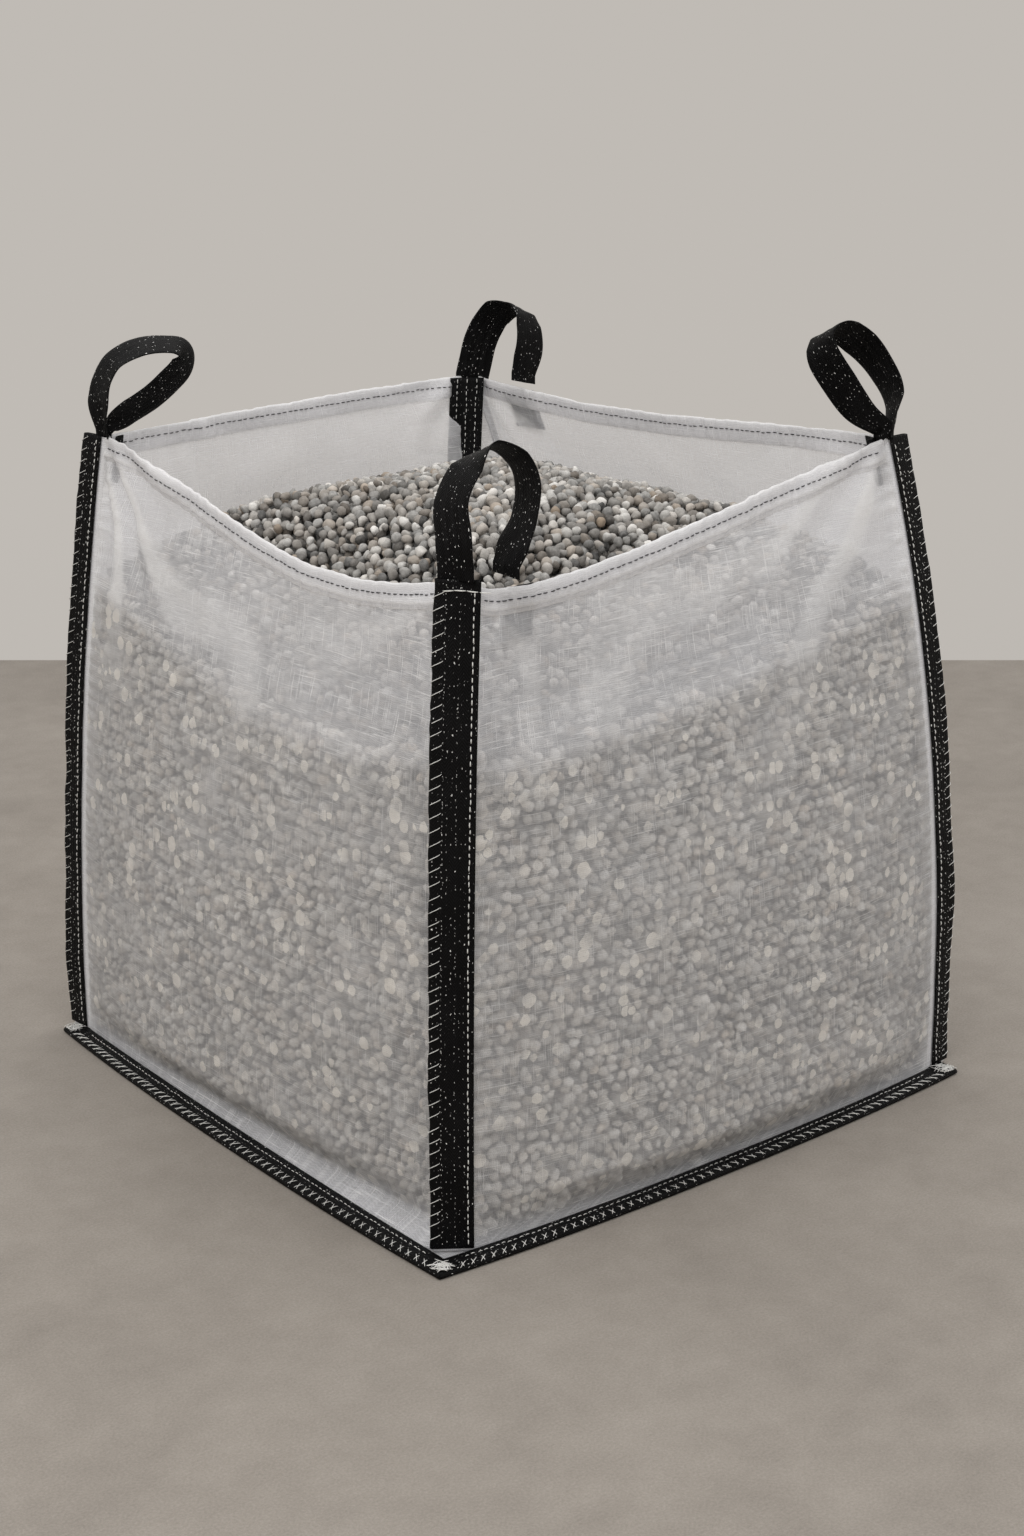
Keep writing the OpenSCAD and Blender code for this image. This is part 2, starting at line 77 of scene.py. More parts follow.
LOOP_ROUTE = (
    [[-1, -1, 0], [-2, 2, 35], [3, 13, 75], [27, 15, 110], [60, 15, 130],
     [88, 5, 116], [97, -5, 86], [88, -10, 50], [70, -12, 20], [60, -12, 0]],
    [[0, 0, 2], [11, 6, 22], [20, 16, 38], [16, 25, 61], [2, 37, 89], [-19, 43, 110], [-45, 46, 126],
     [-68, 46, 130], [-84, 47, 123], [-89, 43, 110], [-85, 37, 92], [-67, 28, 63], [-41, 17, 26],
     [-10, 5, 2]],
    [[4, -3, -10], [8, -6, 12], [12, -12, 41], [18, -22, 66], [25, -38, 87], [35, -64, 96],
     [39, -85, 89], [37, -96, 72], [34, -102, 49], [29, -103, 25], [24, -101, 3]],
    [[4, -3, 0], [1, -1, 23], [1, -1, 43], [7, -3, 66], [22, -7, 89], [47, -15, 103], [75, -22, 108],
     [100, -31, 106], [113, -33, 95], [110, -32, 75], [92, -28, 57], [68, -21, 38], [40, -12, 22],
     [16, -5, 10], [6, -5, 1]],
)
# How much of its face each loop turns outward at those points, the way it leans, and the width its feet keep
LOOP_FACE = (
    (0.9, 0.82, 0.78, 0.7, 0, -0.4, -0.55, -0.6, -0.75, -0.85),
    (0.1, 0.22, 0.36, 0.5, 0.58, 0.64, 0.5, 0.1, -0.4, -0.65, -0.74, -0.74, -0.74, -0.6),
    (0.98, 0.98, 0.97, 0.93, 0.8, 0.1, -0.5, -0.7, -0.76, -0.8, -0.8),
    (0.6, 0.66, 0.66, 0.66, 0.68, 0.68, 0.62, 0.55, 0.45, 0.42, 0.45, 0.45, 0.45, 0.5, 0.5),
)
LOOP_LEAN = (-1, -1, 1, -1)
LOOP_VIEW = np.array([0.593, 0.742, -0.311])
LOOP_FOOT = ((0.9, 0.75), (0.4, 0.7), (1.0, 0.85), (0.6, 0.4))
LOOP_STAND = ((0.021, 141), (0.009, 315), (-0.012, 45), (0.009, 135))
GATHER = 0.14


def unit(degrees):
    return np.array([math.cos(math.radians(degrees)), math.sin(math.radians(degrees))])


def lerp(a, b, t):
    return a + (b - a) * t


def smooth(a, b, x):
    u = np.clip((np.asarray(x, float) - a) / (b - a), 0, 1)
    return u * u * (3 - 2 * u)


def noise(x, y, seed=0):
    """Smooth value noise from -1 to 1, one cell to a unit."""
    x, y = np.broadcast_arrays(np.asarray(x, float), np.asarray(y, float))
    xi, yi = np.floor(x).astype(np.int64), np.floor(y).astype(np.int64)
    fx, fy = x - xi, y - yi
    fx, fy = fx * fx * (3 - 2 * fx), fy * fy * (3 - 2 * fy)

    def at(i, j):
        n = ((xi + i) * 374761393 + (yi + j) * 668265263 + seed * 1442695) & 0xFFFFFFFF
        n = ((n ^ (n >> 13)) * 1274126177) & 0xFFFFFFFF
        n = ((n ^ (n >> 15)) * 2246822519) & 0xFFFFFFFF
        return (n ^ (n >> 16)) / 2.0**31 - 1

    return lerp(lerp(at(0, 0), at(1, 0), fx), lerp(at(0, 1), at(1, 1), fx), fy)


# ---------------------------------------------------------------- the sack's own surfaces
def half_w(z):
    return BASE_W / 2 - SEAM_INSET - MOUTH_INSET * (np.maximum(z, 0) / MOUTH_H) ** 2.2


def seam(k, z):
    z = np.asarray(z, float)
    t = ((z / MOUTH_H) ** 3)[..., None]
    return SIGN[k] * half_w(z)[..., None] + lerp(FOOT_SHIFT[k], SHIFT[k], t)


def corner_z(k):
    return MOUTH_H + RISE[k % 4]


def side_normal(k):
    return unit(270 + 90 * k)


def across(s):
    return 1 - np.abs(2 * s - 1) ** 2.4


def hem_z(k, s):
    s = np.clip(s, 0, 1)
    return lerp(corner_z(k), corner_z(k + 1), s) - SAG[k] * np.sin(np.pi * s ** SKEW[k])


def wall_out(k, s, z):
    full = lerp(FOOT[k], BELLY[k], smooth(WALL_Z, BELLY_Z, z))
    return across(s) * (full * np.maximum(0, 1 - (z / MOUTH_H) ** 2) + BOW[k] * (z / MOUTH_H) ** 3)


def wall(k, s, z, d=0.0):
    s, z, d = np.broadcast_arrays(*(np.asarray(v, float) for v in (s, z, d)))
    p = seam(k, z) * (1 - s)[..., None] + seam((k + 1) % 4, z) * s[..., None]
    p = p + side_normal(k) * (wall_out(k, s, z) + d)[..., None]
    return np.concatenate([p, z[..., None]], -1)


def fold_wave(k, z, r):
    """How far a bound corner seam waves to its side."""
    share = np.clip(np.asarray(r, float) / CORNER_FOLD, 0, 1.1)
    return share * (0.0035 * noise(z / 0.13, k * 3.1, 3) + 0.0016 * noise(z / 0.05, k * 5.7, 4))


def fold_point(k, z, r, h):
    z, r, h = np.broadcast_arrays(*(np.asarray(v, float) for v in (z, r, h)))
    p = seam(k, z) + unit(FOLD_ANGLE[k]) * r[..., None]
    p = p + unit(FOLD_ANGLE[k] - 90) * (h + fold_wave(k, z, r))[..., None]
    return np.concatenate([p, z[..., None]], -1)


def foot_line(k, s):
    return half_w(0.0) + FOOT[k] * across(s)


def edge_line(k, s):
    return BASE_W / 2 + EDGE[k] * across(s)


def base_point(k, s, corner_out, out, z):
    s, c, o, z = np.broadcast_arrays(*(np.asarray(v, float) for v in (s, corner_out, out, z)))
    n = side_normal(k)
    along = np.array([-n[1], n[0]])
    p = n * o[..., None] + along * ((2 * s - 1) * c)[..., None]
    return np.concatenate([p, z[..., None]], -1)


# Strengths of the fans of tension folds from each wall's two top corners
FAN = ((0.007, 0.016), (0.013, 0.012), (0.012, 0.012), (0.018, 0.009))


def folds(k, s, z):
    """(how far the cloth stands off its plain wall, how tight and pale it is there; on the fold crests and
    creases the paleness is painted highlight).
    """
    s, z = np.broadcast_arrays(np.asarray(s, float), np.asarray(z, float))
    width = 0.80
    deep = hem_z(k, s) - z
    xa, xb = s * width, (1 - s) * width
    ends = smooth(0, 0.07, xa) * smooth(0, 0.07, xb)
    free = smooth(FILL_DROP + 0.015, FILL_DROP - 0.07, deep)
    low = smooth(0.01, 0.06, z)
    hem = 0.25 + 0.75 * smooth(0.01, 0.09, deep)
    d = np.zeros_like(s)
    pale = np.zeros_like(s)
    for i, x in enumerate((xa, xb)):
        r = np.hypot(x, deep + 0.012)
        phi = np.arctan2(deep + 0.012, x + 1e-4)
        turn = phi * 4.2 + 1.6 * noise(r / 0.13, phi * 1.3, 20 + 2 * k + i) + 0.7 * k + i
        crest = np.abs(np.sin(turn)) ** 1.6
        reach = np.exp(-r / 0.26) * smooth(0.015, 0.10, r) * smooth(0.02, 0.16, phi)
        d += FAN[k][i] * reach * (crest - 0.45) * (0.35 + 0.65 * free)
        # The fold crests get painted highlight
        pale += (FAN[k][i] / 0.010) * reach * smooth(0.72, 0.98, crest) * 0.9
    d += free * ends * hem * (0.0065 * noise(xa / 0.19, deep / 0.17, 31 + k) - 0.0065)
    d += free * ends * hem * 0.0044 * noise(xa / 0.06 + deep / 0.11, deep / 0.07 - xa / 0.2, 41 + k)
    ridge = 1 - np.abs(noise(xa / 0.13 + 0.4 * deep, deep / 0.021 + 0.8 * noise(xa / 0.09, deep / 0.06, 52),
                             51 + k))
    near = np.exp(-xa / 0.16) + np.exp(-xb / 0.16)
    crease = smooth(0.80, 1.0, ridge) * (0.25 + 0.75 * np.clip(near, 0, 1)) * low
    d += 0.0017 * crease * (0.3 + 0.7 * free)
    # The creases get painted highlight
    pale += 0.28 * crease
    by_seam = np.clip(np.exp(-xa / 0.07) + np.exp(-xb / 0.07), 0, 1)
    band = smooth(0.35, 0.75, noise(xa / 0.12, z / 0.017, 61 + k)) * by_seam
    pale += 0.45 * band * low
    d += 0.0011 * (1 - free) * low * noise(xa / 0.045, z / 0.05, 71 + k)
    for x in (xa, xb):
        d += 0.0014 * np.exp(-x / 0.022) * np.sin(z / 0.0030 + 2.5 * noise(z / 0.04, k * 2.0, 81)) * low
        pale += 0.55 * np.exp(-(x / 0.012) ** 2)
    d += 0.0010 * np.exp(-deep / 0.03) * np.sin(xa / 0.0045 + 3 * noise(xa / 0.05, k * 2.0, 91))
    streak = smooth(0.2, 0.8, noise(xa / 0.006, z / 0.06, 95 + k)) * smooth(0.11, 0.02, z)
    pale += 0.4 * streak
    return d, np.clip(pale, 0, 1)


def fill_z(k, s):
    return hem_z(k, s) - FILL_DROP


def cloth(k, s, z, d=0.0):
    return wall(k, s, z, d + folds(k, s, z)[0])


# ---------------------------------------------------------------- meshes
def grid_faces(rows, cols, ring=False):
    """Quads of a grid of points, row by row; a ring closes its rows."""
    j, i = np.meshgrid(np.arange(rows - 1), np.arange(cols if ring else cols - 1), indexing="ij")
    a = j * cols + i
    b = j * cols + (i + 1) % cols
    return np.stack([a, b, b + cols, a + cols], -1).reshape(-1, 4)


def make(name, verts, faces, mat, body="sack", uv=None, attrs=None, replaces=()):
    """A mesh piece from arrays: faces is one array of quads or of triangles, or a list of arrays."""
    groups = faces if isinstance(faces, list) else [faces]
    verts = np.asarray(verts, np.float32).reshape(-1, 3)
    loops = np.concatenate([np.asarray(g).ravel() for g in groups]).astype(np.int32)
    counts = np.concatenate([np.full(len(g), np.asarray(g).shape[1]) for g in groups])
    starts = np.concatenate([[0], np.cumsum(counts)[:-1]]).astype(np.int32)
    mesh = bpy.data.meshes.new(name)
    mesh.vertices.add(len(verts))
    mesh.vertices.foreach_set("co", verts.ravel())
    mesh.loops.add(len(loops))
    mesh.loops.foreach_set("vertex_index", loops)
    mesh.polygons.add(len(counts))
    mesh.polygons.foreach_set("loop_start", starts)
    mesh.polygons.foreach_set("use_smooth", np.ones(len(counts), bool))
    if uv is not None:
        layer = mesh.uv_layers.new(name="UVMap")
        flat = np.asarray(uv, np.float32).reshape(-1, 2)[loops]
        layer.data.foreach_set("uv", flat.ravel())
    for key, values in (attrs or {}).items():
        a = mesh.attributes.new(key, "FLOAT", "POINT")
        a.data.foreach_set("value", np.asarray(values, np.float32).ravel())
    mesh.update(calc_edges=True)
    mesh.materials.append(mat)
    obj = bpy.data.objects.new(name, mesh)
    scene.collection.objects.link(obj)
    if body:
        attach(obj, body)
    if replaces:
        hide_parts(*replaces)
    return obj


def outward(obj):
    """Turns a closed mesh's faces outward."""
    work = bmesh.new()
    work.from_mesh(obj.data)
    bmesh.ops.recalc_face_normals(work, faces=work.faces)
    work.to_mesh(obj.data)
    work.free()
    return obj


def tubes(paths, radius, sides=5):
    """Vertices and faces of round threads along paths of equal numbers of points."""
    p = np.asarray(paths, float)
    n, m = p.shape[:2]
    t = np.gradient(p, axis=1)
    t /= np.linalg.norm(t, axis=-1, keepdims=True) + 1e-12
    ref = np.where(np.abs(t[..., 2:3]) < 0.8, [[[0, 0, 1.0]]], [[[1.0, 0, 0]]])
    a = np.cross(t, ref)
    a /= np.linalg.norm(a, axis=-1, keepdims=True) + 1e-12
    b = np.cross(t, a)
    ends = np.sin(np.linspace(0.18, math.pi - 0.18, m)) ** 0.3
    turn = np.linspace(0, 2 * math.pi, sides, endpoint=False)
    cos, sin = (f(turn)[None, None, :, None] for f in (np.cos, np.sin))
    ring = a[:, :, None] * cos + b[:, :, None] * sin
    verts = p[:, :, None] + ring * radius * ends[None, :, None, None]
    f = grid_faces(m, sides, True)
    faces = (np.arange(n)[:, None, None] * m * sides + f[None]).reshape(-1, 4)
    cap = np.arange(sides)
    caps = np.stack([cap[::-1], cap + (m - 1) * sides])
    caps = (np.arange(n)[:, None, None] * m * sides + caps[None]).reshape(-1, sides)
    return verts.reshape(-1, 3), [faces, caps]


def stitch_paths(line, normals, length, gap, lift, seed, stray=0.0003):
    """Running stitches on a dense line: short arches that dip at both ends."""
    both = np.concatenate([np.asarray(line, float), np.asarray(normals, float)], 1)
    lengths = np.concatenate([[0], np.cumsum(np.linalg.norm(np.diff(both[:, :3], axis=0), axis=1))])
    count = int(lengths[-1] // (length + gap))
    local = np.random.default_rng(seed)
    start = np.arange(count) * (length + gap) + gap / 2 + local.uniform(-0.2, 0.2, count) * gap
    at = start[:, None] + np.linspace(0, 1, 5)[None] * length * local.uniform(0.88, 1.06, (count, 1))
    p = np.stack([np.interp(at, lengths, both[:, i]) for i in range(6)], -1)
    arch = np.array([-0.5, 0.7, 1.0, 0.7, -0.5])[None, :, None]
    out = p[..., :3] + p[..., 3:] * arch * lift
    return out + local.normal(0, stray, (count, 1, 3))


# ---------------------------------------------------------------- materials
def add(tree, kind, values=None, **attrs):
    node = tree.nodes.new(kind)
    for key, value in attrs.items():
        setattr(node, key, value)
    for key, value in (values or {}).items():
        if isinstance(value, bpy.types.NodeSocket):
            tree.links.new(value, node.inputs[key])
        else:
            node.inputs[key].default_value = value
    return node


def calc(tree, op, a, b=None, c=None, clamp=False):
    values = {i: v for i, v in enumerate((a, b, c)) if v is not None}
    return add(tree, "ShaderNodeMath", values, operation=op, use_clamp=clamp).outputs[0]


def step_up(tree, value, low, high, to=1.0):
    node = add(tree, "ShaderNodeMapRange", {"Value": value, "From Min": low, "From Max": high, "To Max": to})
    node.interpolation_type = "SMOOTHSTEP"
    return node.outputs[0]


def bumped(tree, strength, distance, height):
    return add(tree, "ShaderNodeBump",
               {"Strength": strength, "Distance": distance, "Height": height}).outputs[0]


def surface(tree, colour, rough, normal, specular=0.5):
    return add(tree, "ShaderNodeBsdfPrincipled",
               {"Base Color": colour, "Roughness": rough, "Specular IOR Level": specular,
                "Normal": normal}).outputs[0]


def noise_map(tree, vector, scale=1.0, detail=2.0, rough=0.5, out="Fac"):
    return add(tree, "ShaderNodeTexNoise",
               {"Vector": vector, "Scale": scale, "Detail": detail, "Roughness": rough}).outputs[out]


def ramp(tree, value, stops):
    node = add(tree, "ShaderNodeValToRGB", {"Fac": value})
    while len(node.color_ramp.elements) < len(stops):
        node.color_ramp.elements.new(0.5)
    for element, (place, colour) in zip(node.color_ramp.elements, stops):
        element.position = place
        element.color = (*colour, 1)
    return node.outputs[0]


def mixed(tree, share, a, b):
    """Colour a turning into colour b."""
    node = add(tree, "ShaderNodeMix", data_type="RGBA")
    for key, value in ((0, share), (6, a), (7, b)):
        if isinstance(value, bpy.types.NodeSocket):
            tree.links.new(value, node.inputs[key])
        else:
            node.inputs[key].default_value = value if key == 0 else (*value, 1)
    return node.outputs[2]


def started(name):
    mat = bpy.data.materials.new(name)
    mat.use_nodes = True
    mat.node_tree.nodes.clear()
    tree = mat.node_tree
    return mat, tree, add(tree, "ShaderNodeOutputMaterial")


def stretched(tree, uv, x, y):
    return add(tree, "ShaderNodeMapping", {"Vector": uv, "Scale": (x, y, 1)}).outputs[0]


def woven(name, cover, colour, bright, weave_share, slub_share, through):
    """Open woven cloth: a thread pattern and its slubs in the cover, with light coming through."""
    mat, tree, out = started(name)
    uv = add(tree, "ShaderNodeUVMap", uv_map="UVMap").outputs[0]
    parts = add(tree, "ShaderNodeSeparateXYZ", {0: uv})
    threads = []
    for axis, grain in ((0, (5, 60)), (1, (60, 5))):
        bent = calc(tree, "MULTIPLY_ADD", noise_map(tree, stretched(tree, uv, *grain), 1.0, 1.0), 0.012,
                    parts.outputs[axis])
        wave = calc(tree, "SINE", calc(tree, "MULTIPLY", bent, 2 * math.pi / 0.0023))
        threads.append(calc(tree, "MULTIPLY_ADD", wave, 0.5, 0.5))
    weave = calc(tree, "MAXIMUM", threads[0], threads[1])
    across_slub = step_up(tree, noise_map(tree, stretched(tree, uv, 14, 620), 1.0, 2.0), 0.56, 0.74)
    along_slub = step_up(tree, noise_map(tree, stretched(tree, uv, 640, 15), 1.0, 2.0), 0.57, 0.75)
    slub = calc(tree, "MAXIMUM", across_slub, along_slub)
    fine = noise_map(tree, stretched(tree, uv, 90, 420), 1.0, 3.0, 0.6)
    patch = noise_map(tree, uv, 7.0, 3.0, 0.6)
    pale = add(tree, "ShaderNodeAttribute", attribute_name="pale").outputs["Fac"]
    total = calc(tree, "MULTIPLY_ADD", weave, weave_share, cover)
    total = calc(tree, "MULTIPLY_ADD", slub, slub_share, total)
    total = calc(tree, "MULTIPLY_ADD", calc(tree, "SUBTRACT", fine, 0.5), 0.35, total)
    total = calc(tree, "MULTIPLY_ADD", calc(tree, "SUBTRACT", patch, 0.5), 0.30, total)
    # Where stones press on the cloth it clings to them and is more opaque, in pale discs (also in random
    # cells); their cream is the stones' own colour with painted light, and the grey between them is painted
    # shade of the gravel behind
    touch = add(tree, "ShaderNodeAttribute", attribute_name="touch").outputs["Fac"]
    packed = add(tree, "ShaderNodeAttribute", attribute_name="packed").outputs["Fac"]
    cells = add(tree, "ShaderNodeTexVoronoi", {"Vector": uv, "Scale": 48.0, "Randomness": 0.9})
    chance = add(tree, "ShaderNodeSeparateColor", {0: cells.outputs["Color"]})
    near = calc(tree, "MULTIPLY_ADD", noise_map(tree, uv, 150.0, 2.0), 0.22, cells.outputs["Distance"])
    size = calc(tree, "MULTIPLY_ADD", chance.outputs[0], 0.24, 0.40)
    round_spot = step_up(tree, calc(tree, "SUBTRACT", size, near), -0.01, 0.05)
    group = step_up(tree, calc(tree, "MULTIPLY_ADD", chance.outputs[1], 0.30,
                               noise_map(tree, uv, 15.0, 2.0)), 0.50, 0.86)
    stone_spot = calc(tree, "MAXIMUM", round_spot, calc(tree, "MULTIPLY", touch, 0.20))
    lit_stone_disc = calc(tree, "MULTIPLY", calc(tree, "MULTIPLY", stone_spot, group), packed)
    total = calc(tree, "MULTIPLY_ADD", lit_stone_disc, 0.38, calc(tree, "MULTIPLY_ADD", packed, -0.10, total))
    total = calc(tree, "MULTIPLY_ADD", pale, 0.34, total, clamp=True)
    white = mixed(tree, calc(tree, "MAXIMUM", slub, pale), colour, bright)
    # Painted shade: the cloth is greyed over the packed gravel behind it
    white = mixed(tree, calc(tree, "MULTIPLY", packed, 0.48), white, (0.52, 0.52, 0.53))
    # Painted light: cream discs where stones lit behind the cloth show through
    white = mixed(tree, calc(tree, "MULTIPLY", lit_stone_disc, 0.78), white, (1.0, 0.97, 0.92))
    height = calc(tree, "MULTIPLY_ADD", slub, 0.6, calc(tree, "MULTIPLY_ADD", weave, 0.5, fine))
    bump = bumped(tree, 0.55, 0.0006, height)
    face = surface(tree, white, 0.55, bump, 0.35)
    glow = add(tree, "ShaderNodeBsdfTranslucent", {"Color": white, "Normal": bump})
    lit = add(tree, "ShaderNodeMixShader", {0: through, 1: face, 2: glow.outputs[0]})
    clear = add(tree, "ShaderNodeBsdfTransparent", {"Color": (1, 1, 1, 1)})
    mix = add(tree, "ShaderNodeMixShader", {0: total, 1: clear.outputs[0], 2: lit.outputs[0]})
    tree.links.new(mix.outputs[0], out.inputs[0])
    return mat


def webbing(name, base, glint_colour):
    """Black herringbone webbing: pale glints on the rib crests are painted highlights, the lighter twill
    lines are painted sheen, and it is lighter in broad random patches; UV is across and along the band, in
    metres.
    """
    mat, tree, out = started(name)
    uv = add(tree, "ShaderNodeUVMap", uv_map="UVMap").outputs[0]
    parts = add(tree, "ShaderNodeSeparateXYZ", {0: uv})
    zig = calc(tree, "PINGPONG", parts.outputs[0], 0.0062)
    twill = calc(tree, "SINE", calc(tree, "MULTIPLY",
                                    calc(tree, "MULTIPLY_ADD", zig, 1.5, parts.outputs[1]),
                                    2 * math.pi / 0.0044))
    rib = calc(tree, "SINE", calc(tree, "MULTIPLY", parts.outputs[0], 2 * math.pi / 0.0052))
    grain = noise_map(tree, stretched(tree, uv, 500, 260), 1.0, 3.0, 0.6)
    height = calc(tree, "MULTIPLY_ADD", twill, 0.45, calc(tree, "MULTIPLY_ADD", rib, 0.35, grain))
    # Pale glints on the rib crests: painted highlights
    glints = step_up(tree, noise_map(tree, stretched(tree, uv, 430, 260), 1.0, 1.0), 0.67, 0.73)
    rows = step_up(tree, rib, -0.2, 0.7)
    glints = calc(tree, "MULTIPLY", glints, rows)
    # Lighter along the twill lines as painted sheen, and in broad random patches
    broad_patches = noise_map(tree, uv, 18.0, 3.0, 0.6)
    sheen_and_patches = calc(tree, "MULTIPLY_ADD", twill, 0.18, broad_patches)
    dark = mixed(tree, step_up(tree, sheen_and_patches, 0.35, 0.95), base, tuple(min(1, v * 4.0 + 0.003) for v in base))
    colour = mixed(tree, glints, dark, glint_colour)
    rough = add(tree, "ShaderNodeMapRange", {"Value": grain, "To Min": 0.42, "To Max": 0.68}).outputs[0]
    tree.links.new(surface(tree, colour, rough, bumped(tree, 0.8, 0.0006, height), 0.12), out.inputs[0])
    return mat


def thread(name, low, high):
    mat, tree, out = started(name)
    place = add(tree, "ShaderNodeTexCoord").outputs["Object"]
    twist = noise_map(tree, place, 900.0, 2.0)
    colour = mixed(tree, twist, low, high)
    tree.links.new(surface(tree, colour, 0.6, bumped(tree, 0.5, 0.0003, twist)), out.inputs[0])
    return mat


def stone(name, stops, tan):
    """Washed pebbles: tone and tan go by each stone, with speckles and bedding over them; a paler set of
    stops gives a painted-light copy of the same gravel.
    """
    mat, tree, out = started(name)
    place = add(tree, "ShaderNodeTexCoord").outputs["Object"]
    tone = add(tree, "ShaderNodeAttribute", attribute_name="tone").outputs["Fac"]
    warm = add(tree, "ShaderNodeAttribute", attribute_name="warm").outputs["Fac"]
    broad = noise_map(tree, place, 160.0, 3.0, 0.6)
    fine = noise_map(tree, place, 900.0, 3.0, 0.65)
    value = calc(tree, "MULTIPLY_ADD", calc(tree, "SUBTRACT", broad, 0.5), 0.55, tone)
    value = calc(tree, "MULTIPLY_ADD", calc(tree, "SUBTRACT", fine, 0.5), 0.35, value, clamp=True)
    colour = mixed(tree, warm, ramp(tree, value, stops), tan)
    height = calc(tree, "MULTIPLY_ADD", fine, 0.5, broad)
    rough = add(tree, "ShaderNodeMapRange", {"Value": fine, "To Min": 0.70, "To Max": 0.95}).outputs[0]
    tree.links.new(surface(tree, colour, rough, bumped(tree, 0.7, 0.0012, height), 0.3), out.inputs[0])
    return mat


CLOTH = woven("woven_fabric", 0.44, (0.90, 0.91, 0.95), (0.98, 0.985, 1.0), 0.24, 0.44, 0.34)
HEM = woven("hem_fabric", 0.52, (0.85, 0.85, 0.87), (0.96, 0.96, 0.97), 0.16, 0.22, 0.34)
WEB = webbing("webbing", (0.0008, 0.0008, 0.0010), (0.85, 0.85, 0.84))
THREAD = thread("light_thread", (0.62, 0.62, 0.60), (0.86, 0.86, 0.84))
DARK_THREAD = thread("dark_thread", (0.012, 0.012, 0.014), (0.045, 0.045, 0.050))
GREYS = [(0.0, (0.045, 0.045, 0.045)), (0.35, (0.225, 0.222, 0.216)), (0.7, (0.47, 0.463, 0.447)),
         (1.0, (0.74, 0.725, 0.70))]
# A paler copy of the greys for the stones behind the cloth: painted light
PALES = [(0.0, (0.26, 0.255, 0.24)), (0.35, (0.52, 0.51, 0.485)), (0.7, (0.76, 0.745, 0.71)),
         (1.0, (0.93, 0.915, 0.88))]
STONE = stone("gravel", GREYS, (0.36, 0.285, 0.215))
# The same gravel made paler, with a paler tan: painted light on the stones behind the cloth
PALE_LIT_GRAVEL = stone("gravel_painted_light", PALES, (0.78, 0.68, 0.57))


# ---------------------------------------------------------------- gravel
def pebble_shapes(count, level):
    """Unit pebbles: rounded, lobed, flattened."""
    work = bmesh.new()
    bmesh.ops.create_icosphere(work, subdivisions=level, radius=1.0)
    v = np.array([x.co for x in work.verts])
    f = np.array([[x.index for x in face.verts] for face in work.faces])
    work.free()
    local = np.random.default_rng(5)
    shapes = []
    for _ in range(count):
        w = v.copy()
        for _ in range(5):
            axis = local.normal(size=3)
            axis /= np.linalg.norm(axis)
            cut = local.uniform(0.50, 0.84)
            reach = w @ axis
            w -= np.outer(np.maximum(reach - cut, 0) * 0.88, axis)
        w *= 1 + 0.07 * np.sin(v @ local.normal(size=3) * 2.2 + local.uniform(0, 6))[:, None]
        w *= np.array([1.0, local.uniform(0.78, 0.95), local.uniform(0.60, 0.82)])
        shapes.append(w / np.abs(w).max())
    return np.array(shapes), f


FINE_SHAPES = pebble_shapes(16, 2)
PLAIN_SHAPES = pebble_shapes(8, 1)


def turned(count, local):
    q = local.normal(size=(count, 4))
    q /= np.linalg.norm(q, axis=1, keepdims=True)
    w, x, y, z = q.T
    return np.stack([
        1 - 2 * (y * y + z * z), 2 * (x * y - z * w), 2 * (x * z + y * w),
        2 * (x * y + z * w), 1 - 2 * (x * x + z * z), 2 * (y * z - x * w),
        2 * (x * z - y * w), 2 * (y * z + x * w), 1 - 2 * (x * x + y * y)], -1).reshape(-1, 3, 3)


def pebbles(name, centres, radii, shapes, mat, seed, against=None, light=0.0, body="sack"):
    """Stones as one mesh. With against = a normal, each stone's outermost point lies at its centre."""
    protos, faces = shapes
    local = np.random.default_rng(seed)
    n = len(centres)
    v = protos[local.integers(0, len(protos), n)] @ np.transpose(turned(n, local), (0, 2, 1))
    v = v * np.asarray(radii)[:, None, None]
    if against is not None:
        v = v - (v @ against).max(1)[:, None, None] * against
    v = v + np.asarray(centres)[:, None]
    f = (np.arange(n)[:, None, None] * protos.shape[1] + faces[None]).reshape(-1, 3)
    # light shifts a whole layer's tones: painted light where raised, painted shade where lowered
    tone = np.clip(local.normal(0.50 + light, 0.21, n), 0.05, 1)
    warm = np.clip(local.normal(0.10, 0.14, n), 0, 0.5) + (local.random(n) < 0.05) * 0.45
    rep = protos.shape[1]
    return make(name, v.reshape(-1, 3), f, mat, body,
                attrs={"tone": np.repeat(tone, rep), "warm": np.repeat(warm, rep)})


def hex_points(x0, x1, y0, y1, pitch, local, stray):
    xs, ys = [], []
    for row, y in enumerate(np.arange(y0, y1, pitch * 0.866)):
        x = np.arange(x0 + (row % 2) * pitch / 2, x1, pitch)
        xs.append(x)
        ys.append(np.full(len(x), y))
    x, y = np.concatenate(xs), np.concatenate(ys)
    return x + local.uniform(-stray, stray, len(x)) * pitch, y + local.uniform(-stray, stray, len(y)) * pitch


